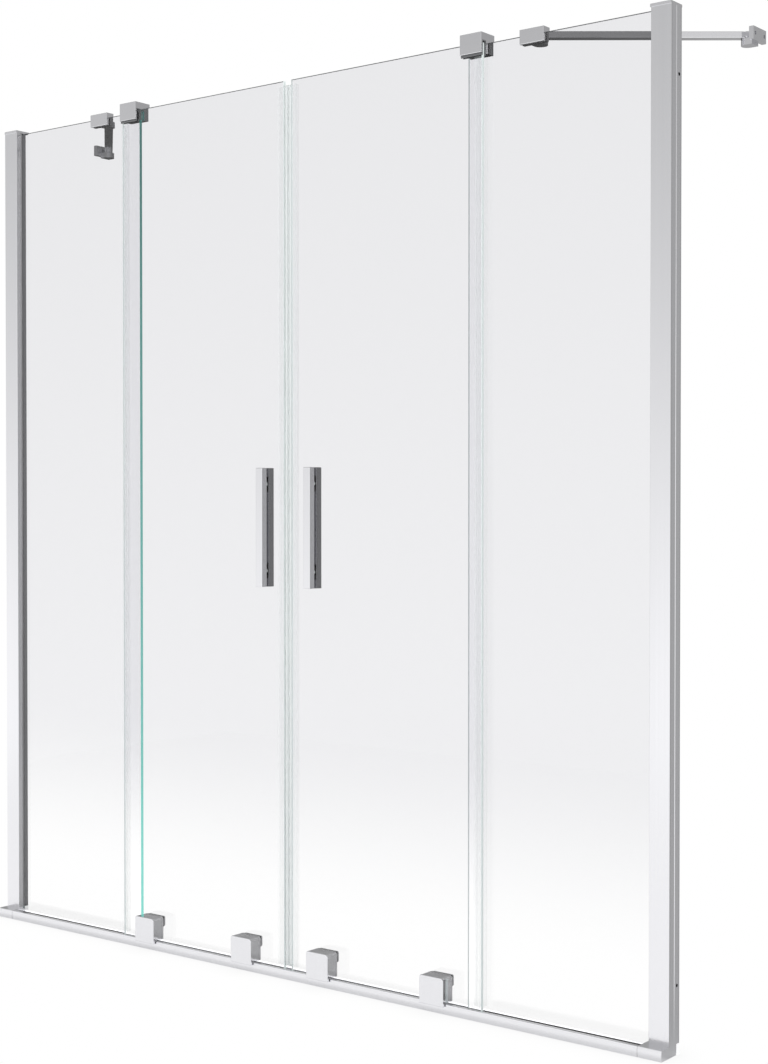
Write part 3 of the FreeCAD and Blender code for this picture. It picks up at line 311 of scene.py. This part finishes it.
def toughened_glass(name, finishes, edge_low, edge_high):
    """Clear float glass with ground edges: the faces are clean and all but colourless.

    The faces are painted whiter towards the foot, a painted light. The upright edges show the colour of the
    whole pane, painted brighter at the foot and darker at the top, and the level ones are painted dark grey,
    a painted shade. All are half matt from grinding, and have a painted glow: they give out light that
    stands in for the light that runs along inside the pane."""
    material, tree, place = start_material(name)
    height = add_node(tree, "ShaderNodeSeparateXYZ", {"Vector": place}).outputs["Z"]
    # Painted light: the faces are painted whiter towards the foot.
    rise = add_node(tree, "ShaderNodeMapRange", {
        "Value": height, "From Min": FOOT_PAINTED_WHITENING[0], "From Max": FOOT_PAINTED_WHITENING[1]},
        interpolation_type="SMOOTHSTEP")
    face = add_node(tree, "ShaderNodeMix", {
        "Factor": rise.outputs[0], "A": rgba(finishes.glass_foot_painted_white), "B": rgba(finishes.glass_high)},
        data_type="RGBA")
    # Painted light and shade: the upright edges go from bright at the foot to dark at the top.
    edge_painted_climb = add_node(tree, "ShaderNodeMapRange", {
        "Value": height, "From Min": EDGE_PAINTED_FADE[0], "From Max": EDGE_PAINTED_FADE[1]})
    edge_colour_and_painted_light = add_node(tree, "ShaderNodeMix", {
        "Factor": edge_painted_climb.outputs[0], "A": rgba(edge_low), "B": rgba(edge_high)}, data_type="RGBA")
    normal = add_node(tree, "ShaderNodeSeparateXYZ", {
        "Vector": add_node(tree, "ShaderNodeTexCoord").outputs["Normal"]})
    # The normal turns round when a face is seen from inside the pane, so only its size is read.
    upright = add_node(tree, "ShaderNodeMath", {0: normal.outputs["Z"]}, operation="ABSOLUTE")
    on_level = add_node(tree, "ShaderNodeMath", {0: upright.outputs[0], 1: LEVEL_POINTS},
                        operation="GREATER_THAN")
    # Painted shade: the top and bottom edges take a dark grey.
    edge = add_node(tree, "ShaderNodeMix", {
        "Factor": on_level.outputs[0], "A": edge_colour_and_painted_light.outputs["Result"], "B": rgba(finishes.top_edge_painted_shade)},
        data_type="RGBA")
    facing = add_node(tree, "ShaderNodeMath", {0: normal.outputs["Y"]}, operation="ABSOLUTE")
    on_edge = add_node(tree, "ShaderNodeMath", {0: facing.outputs[0], 1: FACE_POINTS},
                       operation="LESS_THAN").outputs[0]
    tint = add_node(tree, "ShaderNodeMix", {
        "Factor": on_edge, "A": face.outputs["Result"], "B": edge.outputs["Result"]}, data_type="RGBA")
    clear = add_node(tree, "ShaderNodeMapRange", {"Value": on_edge, "To Min": 1, "To Max": EDGE_CLEAR})
    matt = add_node(tree, "ShaderNodeMapRange", {"Value": on_edge, "To Min": 0, "To Max": EDGE_ROUGHNESS})
    # Painted glow: the edges give out their own colour as light, standing in for the light that runs along
    # inside the pane.
    glow = add_node(tree, "ShaderNodeMix", {
        "Factor": on_edge, "A": (0, 0, 0, 1), "B": edge.outputs["Result"]}, data_type="RGBA")
    shader = add_node(tree, "ShaderNodeBsdfPrincipled", {
        "Base Color": tint.outputs["Result"], "Roughness": matt.outputs[0], "IOR": 1.5,
        "Transmission Weight": clear.outputs[0], "Emission Color": glow.outputs["Result"],
        "Emission Strength": EDGE_PAINTED_GLOW})
    return close_material(material, tree, shader)


def clear_vinyl(name, colour):
    """Extruded clear PVC: see-through and a little milky, with soft lines along the seal."""
    material, tree, place = start_material(name)
    line_spacing, line_length = 3 * MM, 900 * MM
    stretched = add_node(tree, "ShaderNodeMapping", {
        "Vector": place, "Scale": (1 / line_spacing, 1 / line_spacing, 1 / line_length)})
    lines = add_node(tree, "ShaderNodeTexNoise", {"Vector": stretched.outputs[0], "Scale": 1, "Detail": 2})
    milk = add_node(tree, "ShaderNodeMapRange", {
        "Value": lines.outputs[0], "From Min": NOISE_LOW, "From Max": NOISE_HIGH,
        "To Min": 0.04, "To Max": 0.09})
    shader = add_node(tree, "ShaderNodeBsdfPrincipled", {
        "Base Color": rgba(colour), "Roughness": 0.14, "IOR": 1.45, "Alpha": milk.outputs[0]})
    return close_material(material, tree, shader)


def milky_strip(name, colour):
    """Magnet strip in white binder: light comes through it softly, with slow clouds along its length."""
    material, tree, place = start_material(name)
    cloud_size = 40 * MM
    cloud = add_node(tree, "ShaderNodeTexNoise", {"Vector": place, "Scale": 1 / cloud_size, "Detail": 2})
    tone = add_node(tree, "ShaderNodeMix", {
        "Factor": cloud.outputs[0], "A": darker(colour, 0.94), "B": rgba(colour)}, data_type="RGBA")
    shader = add_node(tree, "ShaderNodeBsdfPrincipled", {
        "Base Color": tone.outputs["Result"], "Roughness": 0.5, "IOR": 1.2, "Transmission Weight": 0.92})
    return close_material(material, tree, shader)


def moulded(name, colour, roughness, grain):
    """Moulded rubber or plastic: one colour with the faint cloudiness and texture that the tool leaves."""
    material, tree, place = start_material(name)
    cloud_size = 12 * MM
    cloud = add_node(tree, "ShaderNodeTexNoise", {"Vector": place, "Scale": 1 / cloud_size, "Detail": 2})
    tone = add_node(tree, "ShaderNodeMix", {
        "Factor": cloud.outputs[0], "A": darker(colour, 0.88), "B": rgba(colour)}, data_type="RGBA")
    skin = add_node(tree, "ShaderNodeTexNoise", {"Vector": place, "Scale": 1 / grain, "Detail": 3})
    relief = add_node(tree, "ShaderNodeBump", {"Height": skin.outputs[0], "Strength": 0.2,
                                               "Distance": 0.05 * MM})
    shader = add_node(tree, "ShaderNodeBsdfPrincipled", {
        "Base Color": tone.outputs["Result"], "Roughness": roughness, "Normal": relief.outputs[0]})
    return close_material(material, tree, shader)


def nodes_in_slot(slot):
    return [row["node"] for row in frame["record"]["subparts"] if row["material_slot"] == slot]


def dress(node, material):
    """Give a CAD node its material."""
    mesh = frame["nodes"][node].data
    mesh.materials.clear()
    mesh.materials.append(material)


class BATHSCREEN_OT_profiles(Operator):
    """Finish the wall posts, the bottom rail and their caps"""
    bl_idname = "bathscreen.profiles"
    bl_label = "Posts and rail"

    def execute(self, context):
        colour = context.scene.screen_finishes.aluminium
        upright = anodised_aluminium("bright_anodised_aluminium_posts", colour, "z")
        level = anodised_aluminium("bright_anodised_aluminium_rail", colour, "x", tray=TRAY_PAINTED_GLOW)
        for node in nodes_in_slot("profile_metal"):
            dress(node, level if "rail" in node else upright)
        return {"FINISHED"}


class BATHSCREEN_OT_fittings(Operator):
    """Finish the guides, clamps, bars, carriages and handles"""
    bl_idname = "bathscreen.fittings"
    bl_label = "Cast fittings"

    def execute(self, context):
        colour = context.scene.screen_finishes.chrome
        chrome = polished_chrome("polished_chrome_plate", colour)
        satin = polished_chrome("satin_chrome_plate", colour, satin=CLAMP_SATIN)
        for node in nodes_in_slot("cast_chrome"):
            dress(node, satin if "clamp_plates" in node else chrome)
        return {"FINISHED"}


class BATHSCREEN_OT_glass(Operator):
    """Finish the fixed panes and the door panes"""
    bl_idname = "bathscreen.glass"
    bl_label = "Glass"

    def execute(self, context):
        finishes = context.scene.screen_finishes
        opened = toughened_glass("toughened_float_glass_open_edge", finishes, finishes.edge_low,
                                 finishes.edge_high)
        covered = toughened_glass("toughened_float_glass", finishes, finishes.covered_low,
                                  finishes.covered_high)
        for node in nodes_in_slot("clear_glass"):
            dress(node, opened if node == "fixed_glass_left" else covered)
        return {"FINISHED"}


class BATHSCREEN_OT_seals(Operator):
    """Finish the door seals, the magnet strips, the gaskets and the glass pads"""
    bl_idname = "bathscreen.seals"
    bl_label = "Seals and gaskets"

    def execute(self, context):
        finishes = context.scene.screen_finishes
        vinyl = clear_vinyl("clear_extruded_pvc", finishes.seal)
        magnet = milky_strip("bonded_magnet_strip", finishes.magnet)
        gasket = moulded("extruded_epdm_gasket", finishes.gasket, roughness=0.6, grain=0.8 * MM)
        for slot, material in (("clear_seal", vinyl), ("magnet", magnet), ("grey_gasket", gasket)):
            for node in nodes_in_slot(slot):
                dress(node, material)
        return {"FINISHED"}


class BATHSCREEN_OT_running_gear(Operator):
    """Finish the rollers, the guides' liners, and the washers and pads against the glass"""
    bl_idname = "bathscreen.running_gear"
    bl_label = "Rollers, liners and washers"

    def execute(self, context):
        finishes = context.scene.screen_finishes
        acetal = moulded("turned_acetal", finishes.nylon, roughness=0.35, grain=0.5 * MM)
        liner = moulded("moulded_grey_nylon", finishes.liner, roughness=0.45, grain=0.6 * MM)
        rubber = moulded("moulded_black_rubber", finishes.rubber, roughness=0.65, grain=0.7 * MM)
        pad = moulded("moulded_grey_rubber", finishes.pad, roughness=0.65, grain=0.7 * MM)
        for node in nodes_in_slot("white_nylon"):
            dress(node, liner if "liner" in node else acetal)
        for node in nodes_in_slot("black_rubber"):
            dress(node, pad if "pad" in node else rubber)
        return {"FINISHED"}


def separate_boxes(node):
    """Low and high corners of each separate solid of a node."""
    mesh = frame["nodes"][node].data
    boxes = []
    for face in mesh.polygons:
        corners = [mesh.vertices[number].co for number in face.vertices]
        low = Vector([min(corner[axis] for corner in corners) for axis in range(3)])
        high = Vector([max(corner[axis] for corner in corners) for axis in range(3)])
        apart = []
        for other_low, other_high in boxes:
            touching = all(low[axis] <= other_high[axis] + SCREW_GAP
                           and other_low[axis] <= high[axis] + SCREW_GAP for axis in range(3))
            if touching:
                low = Vector([min(low[axis], other_low[axis]) for axis in range(3)])
                high = Vector([max(high[axis], other_high[axis]) for axis in range(3)])
            else:
                apart.append((other_low, other_high))
        boxes = apart + [(low, high)]
    return sorted(boxes, key=lambda box: tuple(box[0]))


def deselect():
    if bpy.context.object and bpy.context.object.mode != "OBJECT":
        bpy.ops.object.mode_set(mode="OBJECT")
    bpy.ops.object.select_all(action="DESELECT")


def apply_modifiers(piece):
    bpy.context.view_layer.objects.active = piece
    for modifier in list(piece.modifiers):
        bpy.ops.object.modifier_apply(modifier=modifier.name)


def sink(head, cutters):
    """Cut the drive recess out of a head."""
    for cutter in cutters:
        recess = head.modifiers.new("recess", "BOOLEAN")
        recess.operation = "DIFFERENCE"
        recess.solver = "EXACT"
        recess.object = cutter
    apply_modifiers(head)
    for cutter in cutters:
        bpy.data.objects.remove(cutter)


def hexagon(flats, depth, top):
    """Six-sided cutter of a socket; half of it stands above the head."""
    bpy.ops.mesh.primitive_cylinder_add(vertices=6, radius=flats / math.sqrt(3), depth=2 * depth,
                                        location=(0, 0, top))
    return [bpy.context.object]


def cross(length, depth, top):
    """Two rounded blades that cut the recess of a cross-head screw; half of them stands above the head."""
    blades = []
    for turn in (0, math.pi / 2):
        bpy.ops.mesh.primitive_cube_add(size=1, location=(0, 0, top), rotation=(0, 0, turn),
                                        scale=(length, BLADE_WIDTH * length, 2 * depth))
        bpy.ops.object.mode_set(mode="EDIT")
        bpy.ops.mesh.bevel(offset=BLADE_ROUND * length, segments=2, affect="EDGES")
        bpy.ops.object.mode_set(mode="OBJECT")
        blades.append(bpy.context.object)
    return blades


def turned_screw(shaft_radius, head_radius, head_low, top, settings, recess):
    """A screw that stands along Z from 0: turned shaft and head, the rim rounded and the drive sunk in."""
    deselect()
    bpy.ops.mesh.primitive_cylinder_add(vertices=settings.sides, radius=head_radius, depth=top - head_low,
                                        location=(0, 0, (top + head_low) / 2))
    screw = bpy.context.object
    bpy.ops.object.mode_set(mode="EDIT")
    bpy.ops.mesh.select_mode(type="EDGE")
    bpy.ops.mesh.select_all(action="DESELECT")
    bpy.ops.object.mode_set(mode="OBJECT")
    for edge in screw.data.edges:
        edge.select = all(screw.data.vertices[number].co.z > 0 for number in edge.vertices)
    bpy.ops.object.mode_set(mode="EDIT")
    bpy.ops.mesh.bevel(offset=settings.rim, segments=3, affect="EDGES")
    if head_low:
        bpy.ops.mesh.primitive_cylinder_add(vertices=settings.sides, radius=shaft_radius, depth=head_low,
                                            location=(0, 0, head_low / 2))
    bpy.ops.object.mode_set(mode="OBJECT")
    deselect()
    cutters = recess(top)
    deselect()
    screw.select_set(True)
    sink(screw, cutters)
    bpy.ops.object.transform_apply(location=True, rotation=True, scale=True)
    bpy.ops.object.shade_smooth_by_angle(angle=SMOOTH_ANGLE)
    return screw


def join(pieces):
    """Join pieces into the first of them."""
    deselect()
    for piece in pieces:
        piece.select_set(True)
    bpy.context.view_layer.objects.active = pieces[0]
    if len(pieces) > 1:
        bpy.ops.object.join()
    return pieces[0]


def copies_at(screw, places, axis):
    """Copies of a screw at several places, along Y or Z, joined into one piece."""
    made = []
    for place in places:
        deselect()
        screw.select_set(True)
        bpy.context.view_layer.objects.active = screw
        bpy.ops.object.duplicate()
        copy = bpy.context.object
        copy.rotation_euler = (-math.pi / 2, 0, 0) if axis == ALONG_Y else (0, 0, 0)
        copy.location = place
        bpy.ops.object.transform_apply(location=True, rotation=True, scale=True)
        made.append(copy)
    return join(made)


def screws_for(node, axis, recess, settings, material, head=0, shaft=0):
    """Detailed screws in place of a node's plain ones; heads point along +Y or +Z.

    head is the head's height and shaft the radius below it; without a head the screw is one cylinder."""
    groups = {}
    for low, high in separate_boxes(node):
        place = (low + high) / 2
        place[axis] = low[axis]
        length = high[axis] - low[axis]
        across = max(high[other] - low[other] for other in range(3) if other != axis)
        size = (round(length, ALIKE_DECIMALS), round(across / 2, ALIKE_DECIMALS))
        groups.setdefault(size, []).append(place)
    pieces = []
    for (length, radius), places in groups.items():
        head_low = length - head if head else 0
        model = turned_screw(shaft, radius, head_low, length, settings, recess)
        pieces.append(copies_at(model, places, axis))
        bpy.data.objects.remove(model)
    piece = join(pieces)
    piece.name = node + "_detailed"
    piece.data.name = node + "_detailed"
    piece.data.materials.clear()
    piece.data.materials.append(material)
    body = next(name for name, nodes in frame["record"]["behaviour"]["bodies"].items() if node in nodes)
    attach(piece, body)
    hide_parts(node)


class BATHSCREEN_OT_plain_steel(Operator):
    """Finish the studs and axles, which stay plain"""
    bl_idname = "bathscreen.plain_steel"
    bl_label = "Studs and axles"

    def execute(self, context):
        steel = zinc_plated_steel("zinc_plated_steel", context.scene.screen_finishes.steel)
        for node in nodes_in_slot("steel"):
            dress(node, steel)
        return {"FINISHED"}


class BATHSCREEN_OT_grub_screws(Operator):
    """Grub screws with hexagon sockets in the guides and clamps"""
    bl_idname = "bathscreen.grub_screws"
    bl_label = "Grub screws"

    def execute(self, context):
        settings = context.scene.screen_fixings
        screws_for("grub_screws", ALONG_Y,
                   lambda top: hexagon(settings.grub_socket, settings.grub_depth, top),
                   settings, bpy.data.materials["zinc_plated_steel"])
        return {"FINISHED"}


class BATHSCREEN_OT_pivot_pins(Operator):
    """Pivot pins with hexagon sockets at the ends of the support bars"""
    bl_idname = "bathscreen.pivot_pins"
    bl_label = "Pivot pins"

    def execute(self, context):
        settings = context.scene.screen_fixings
        chrome = bpy.data.materials["polished_chrome_plate"]
        for node in ("clamp_pivot_pins", "wall_pivot_pin_left", "wall_pivot_pin_right"):
            screws_for(node, ALONG_Z,
                       lambda top: hexagon(settings.pin_socket, settings.recess_depth, top),
                       settings, chrome, head=settings.pin_head, shaft=settings.pin_shaft)
        return {"FINISHED"}


class BATHSCREEN_OT_lock_screws(Operator):
    """Cross-head screws that lock the cover profiles to the wall channels"""
    bl_idname = "bathscreen.lock_screws"
    bl_label = "Lock screws"

    def execute(self, context):
        settings = context.scene.screen_fixings
        chrome = bpy.data.materials["polished_chrome_plate"]
        screws_for("profile_lock_screws", ALONG_Y,
                   lambda top: cross(settings.cross_length, settings.recess_depth, top),
                   settings, chrome, head=settings.lock_head, shaft=settings.lock_shaft)
        return {"FINISHED"}


class BATHSCREEN_OT_carriage_bolts(Operator):
    """Socket bolts through the clamp plates behind the doors"""
    bl_idname = "bathscreen.carriage_bolts"
    bl_label = "Carriage bolts"

    def execute(self, context):
        settings = context.scene.screen_fixings
        steel = bpy.data.materials["zinc_plated_steel"]
        for node in ("carriage_bolts_left", "carriage_bolts_right"):
            screws_for(node, ALONG_Y,
                       lambda top: hexagon(settings.bolt_socket, settings.recess_depth, top),
                       settings, steel, head=settings.bolt_head, shaft=settings.bolt_shaft)
        return {"FINISHED"}


def mirror_count(tree, path):
    """How often a ray has been thrown back, not counting its ways through glass."""
    count = add_node(tree, "ShaderNodeMath", {
        0: path.outputs["Ray Depth"], 1: path.outputs["Transmission Depth"]}, operation="SUBTRACT")
    return count.outputs[0]


def behind_glass(tree, path):
    """Full light for a mirror that stands free, and less for one that stands behind a pane."""
    panes = add_node(tree, "ShaderNodeMath", {
        0: path.outputs["Is Transmission Ray"], 1: -PANE_SURFACES, 2: path.outputs["Transmission Depth"]},
        operation="MULTIPLY_ADD")
    metal = add_node(tree, "ShaderNodeMath", {0: path.outputs["Diffuse Depth"], 1: NO_BOUNCE},
                     operation="LESS_THAN")
    hidden = add_node(tree, "ShaderNodeMath", {0: panes.outputs[0], 1: metal.outputs[0]},
                      operation="MULTIPLY")
    level = add_node(tree, "ShaderNodeMapRange", {
        "Value": hidden.outputs[0], "To Min": 1, "To Max": BEHIND_GLASS_LEVEL})
    return level.outputs[0]


def white_to_eye(tree, path):
    """Plain white, and a little more through a second pane, so that two panes don't look too grey."""
    white = add_node(tree, "ShaderNodeMapRange", {
        "Value": path.outputs["Transmission Depth"],
        "From Min": PANE_SURFACES, "From Max": 2 * PANE_SURFACES, "To Min": 1, "To Max": SECOND_PANE_WHITE})
    return white.outputs[0]


def grey_ramp(tree, rise, steps):
    """Grey levels set out along the rise of a ray."""
    low, high = RISE_SPAN
    along = add_node(tree, "ShaderNodeMapRange", {"Value": rise, "From Min": low, "From Max": high})
    made = add_node(tree, "ShaderNodeValToRGB", {"Fac": along.outputs[0]})
    elements = made.color_ramp.elements
    for _ in steps[2:]:
        elements.new(0.5)
    for element, (place, level) in zip(elements, steps):
        element.position = (place - low) / (high - low)
        element.color = (level, level, level, 1)
    return made.outputs["Color"]


def studio_world(world):
    """White to the eye; to the metal a studio that is bright in front, grey behind and dark low behind."""
    world.use_nodes = True
    tree = world.node_tree
    tree.nodes.clear()
    ray = add_node(tree, "ShaderNodeSeparateXYZ", {
        "Vector": add_node(tree, "ShaderNodeTexCoord").outputs["Generated"]})
    rightward, rearward, upward = (ray.outputs[axis] for axis in "XYZ")
    front_left = grey_ramp(tree, upward, FRONT_LEFT_LEVELS)
    front_right = grey_ramp(tree, upward, FRONT_RIGHT_LEVELS)
    rear_left = grey_ramp(tree, upward, REAR_LEFT_LEVELS)
    rear_right = (REAR_RIGHT_LEVEL, REAR_RIGHT_LEVEL, REAR_RIGHT_LEVEL, 1)
    to_right = add_node(tree, "ShaderNodeMapRange", {
        "Value": rightward, "From Min": FRONT_LEFT_TO_RIGHT[0], "From Max": FRONT_LEFT_TO_RIGHT[1]})
    ahead = add_node(tree, "ShaderNodeMix", {
        "Factor": to_right.outputs[0], "A": front_left, "B": front_right}, data_type="RGBA")
    panel = add_node(tree, "ShaderNodeMapRange", {
        "Value": rightward, "From Min": REAR_LEFT_TO_RIGHT[0], "From Max": REAR_LEFT_TO_RIGHT[1]})
    behind = add_node(tree, "ShaderNodeMix", {
        "Factor": panel.outputs[0], "A": rear_left, "B": rear_right}, data_type="RGBA")
    to_rear = add_node(tree, "ShaderNodeMapRange", {
        "Value": rearward, "From Min": FRONT_TO_REAR[0], "From Max": FRONT_TO_REAR[1]})
    studio = add_node(tree, "ShaderNodeMix", {
        "Factor": to_rear.outputs[0], "A": ahead.outputs["Result"], "B": behind.outputs["Result"]},
        data_type="RGBA")
    path = add_node(tree, "ShaderNodeLightPath")
    # A ray that ends in the world is counted as thrown back once more than one that ends on the floor.
    to_eye = add_node(tree, "ShaderNodeMath", {0: mirror_count(tree, path), 1: ONE_BOUNCE},
                      operation="LESS_THAN")
    mirrored = add_node(tree, "ShaderNodeVectorMath", {
        0: studio.outputs["Result"], "Scale": behind_glass(tree, path)}, operation="SCALE")
    shown = add_node(tree, "ShaderNodeMix", {
        "Factor": to_eye.outputs[0], "A": mirrored.outputs[0], "B": white_to_eye(tree, path)},
        data_type="RGBA")
    light = add_node(tree, "ShaderNodeBackground", {"Color": shown.outputs["Result"], "Strength": 1})
    add_node(tree, "ShaderNodeOutputWorld", {"Surface": light.outputs[0]})


def studio_floor():
    """Matt board, white to the eye with the screen's soft shadow close to its foot.

    In mirrors its front half is well lit and the rest is grey."""
    material, tree, place = start_material("matt_light_board")
    path = add_node(tree, "ShaderNodeLightPath")
    level = behind_glass(tree, path)
    grey = add_node(tree, "ShaderNodeVectorMath", {0: linear(FLOOR_GREY), "Scale": level}, operation="SCALE")
    board = add_node(tree, "ShaderNodeBsdfDiffuse", {"Color": grey.outputs[0]})
    spot = add_node(tree, "ShaderNodeSeparateXYZ", {"Vector": place})
    rear = add_node(tree, "ShaderNodeMapRange", {
        "Value": spot.outputs["Y"], "From Min": FLOOR_FRONT_TO_REAR[0], "From Max": FLOOR_FRONT_TO_REAR[1]})
    beside = add_node(tree, "ShaderNodeMapRange", {
        "Value": spot.outputs["X"], "From Min": FLOOR_REAR_TO_BESIDE[0], "From Max": FLOOR_REAR_TO_BESIDE[1],
        "To Min": FLOOR_BEHIND_TO_METAL, "To Max": FLOOR_BESIDE_TO_METAL})
    lit = add_node(tree, "ShaderNodeMix", {
        "Factor": rear.outputs[0], "A": FLOOR_TO_METAL, "B": beside.outputs[0]})
    metal = add_node(tree, "ShaderNodeMath", {0: path.outputs["Diffuse Depth"], 1: NO_BOUNCE},
                     operation="LESS_THAN")
    to_metal = add_node(tree, "ShaderNodeMath", {0: metal.outputs[0], 1: lit.outputs["Result"]},
                        operation="MULTIPLY")
    shown = add_node(tree, "ShaderNodeMath", {0: to_metal.outputs[0], 1: level}, operation="MULTIPLY")
    glow = add_node(tree, "ShaderNodeEmission", {"Strength": shown.outputs[0]})
    mirrored = add_node(tree, "ShaderNodeAddShader", {0: board.outputs[0], 1: glow.outputs[0]})
    straight = add_node(tree, "ShaderNodeMath", {0: mirror_count(tree, path), 1: NO_BOUNCE},
                        operation="LESS_THAN")
    open_sky = add_node(tree, "ShaderNodeAmbientOcclusion", {"Distance": SHADOW_REACH},
                        samples=SHADOW_SAMPLES)
    shade = add_node(tree, "ShaderNodeMapRange", {
        "Value": open_sky.outputs["AO"], "To Min": SHADOW_WHITE, "To Max": 1})
    seen = add_node(tree, "ShaderNodeMath", {0: white_to_eye(tree, path), 1: shade.outputs[0]},
                    operation="MULTIPLY")
    white = add_node(tree, "ShaderNodeEmission", {"Strength": seen.outputs[0]})
    shader = add_node(tree, "ShaderNodeMixShader", {
        0: straight.outputs[0], 1: mirrored.outputs[0], 2: white.outputs[0]})
    return close_material(material, tree, shader)


def white_card():
    """Card that hangs level behind the screen: its white underside shows in mirrors, not to the eye."""
    material, tree, _ = start_material("white_card")
    path = add_node(tree, "ShaderNodeLightPath")
    thrown_back = add_node(tree, "ShaderNodeMath", {0: mirror_count(tree, path), 1: NO_BOUNCE},
                           operation="GREATER_THAN")
    underneath = add_node(tree, "ShaderNodeNewGeometry").outputs["Backfacing"]
    mirrored = add_node(tree, "ShaderNodeMath", {0: thrown_back.outputs[0], 1: underneath},
                        operation="MULTIPLY")
    clear = add_node(tree, "ShaderNodeBsdfTransparent")
    white = add_node(tree, "ShaderNodeEmission", {"Strength": CARD_LIGHT})
    shader = add_node(tree, "ShaderNodeMixShader", {
        0: mirrored.outputs[0], 1: clear.outputs[0], 2: white.outputs[0]})
    return close_material(material, tree, shader)


class BATHSCREEN_OT_stage(Operator):
    """White floor, soft studio light and the camera"""
    bl_idname = "bathscreen.stage"
    bl_label = "Studio"

    def execute(self, context):
        settings = context.scene.screen_stage
        deselect()
        bpy.ops.mesh.primitive_plane_add(size=FLOOR_SIZE, location=(0, 0, 0))
        floor = context.object
        floor.name = "studio_floor"
        floor.data.materials.append(studio_floor())
        bpy.ops.mesh.primitive_plane_add(size=1, location=(0, 0, CARD_HEIGHT))
        card = context.object
        card.name = "low_card"
        for vertex, corner in zip(card.data.vertices, CARD_CORNERS):
            vertex.co.xy = corner
        card.data.materials.append(white_card())
        card.visible_camera = False
        card.visible_diffuse = False
        card.visible_shadow = False
        world = bpy.data.worlds.new("studio")
        context.scene.world = world
        studio_world(world)
        bpy.ops.object.light_add(type="AREA", location=KEY_PLACE)
        key = context.object
        key.name = "key_light"
        key.data.shape = "RECTANGLE"
        key.data.size, key.data.size_y = KEY_SIZE
        key.data.energy = settings.key
        key.visible_glossy = False
        key.rotation_euler = (Vector(KEY_AIM) - key.location).to_track_quat("-Z", "Y").to_euler()
        bpy.ops.object.camera_add(location=settings.eye,
                                  rotation=(math.pi / 2 - settings.dip, 0, settings.turn))
        camera = context.object
        camera.name = "photo_camera"
        camera.data.lens = settings.lens
        camera.data.sensor_width = SENSOR_WIDTH
        camera.data.clip_end = FARTHEST
        context.scene.camera = camera
        context.scene.view_settings.view_transform = "Standard"
        return {"FINISHED"}


OPERATORS = (
    BATHSCREEN_OT_profiles,
    BATHSCREEN_OT_fittings,
    BATHSCREEN_OT_glass,
    BATHSCREEN_OT_seals,
    BATHSCREEN_OT_running_gear,
    BATHSCREEN_OT_plain_steel,
    BATHSCREEN_OT_grub_screws,
    BATHSCREEN_OT_pivot_pins,
    BATHSCREEN_OT_lock_screws,
    BATHSCREEN_OT_carriage_bolts,
    BATHSCREEN_OT_stage,
)


class BATHSCREEN_PT_sidebar(Panel):
    """Steps that finish the bath screen"""
    bl_idname = "BATHSCREEN_PT_sidebar"
    bl_label = "Bath screen"
    bl_space_type = "VIEW_3D"
    bl_region_type = "UI"
    bl_category = "Bath screen"

    def draw(self, context):
        for operator in OPERATORS:
            self.layout.operator(operator.bl_idname)
        scene = context.scene
        for group in (scene.screen_finishes, scene.screen_fixings, scene.screen_stage):
            box = self.layout.box()
            for name in group.bl_rna.properties.keys():
                if name not in ("rna_type", "name"):
                    box.prop(group, name)


CLASSES = (ScreenFinishes, ScreenFixings, ScreenStage, *OPERATORS, BATHSCREEN_PT_sidebar)


def register():
    for cls in CLASSES:
        bpy.utils.register_class(cls)
    bpy.types.Scene.screen_finishes = PointerProperty(type=ScreenFinishes)
    bpy.types.Scene.screen_fixings = PointerProperty(type=ScreenFixings)
    bpy.types.Scene.screen_stage = PointerProperty(type=ScreenStage)


def unregister():
    del bpy.types.Scene.screen_stage
    del bpy.types.Scene.screen_fixings
    del bpy.types.Scene.screen_finishes
    for cls in reversed(CLASSES):
        bpy.utils.unregister_class(cls)


def main():
    register()
    for operator in OPERATORS:
        group, name = operator.bl_idname.split(".")
        getattr(getattr(bpy.ops, group), name)()


if __name__ == "__main__":
    main()
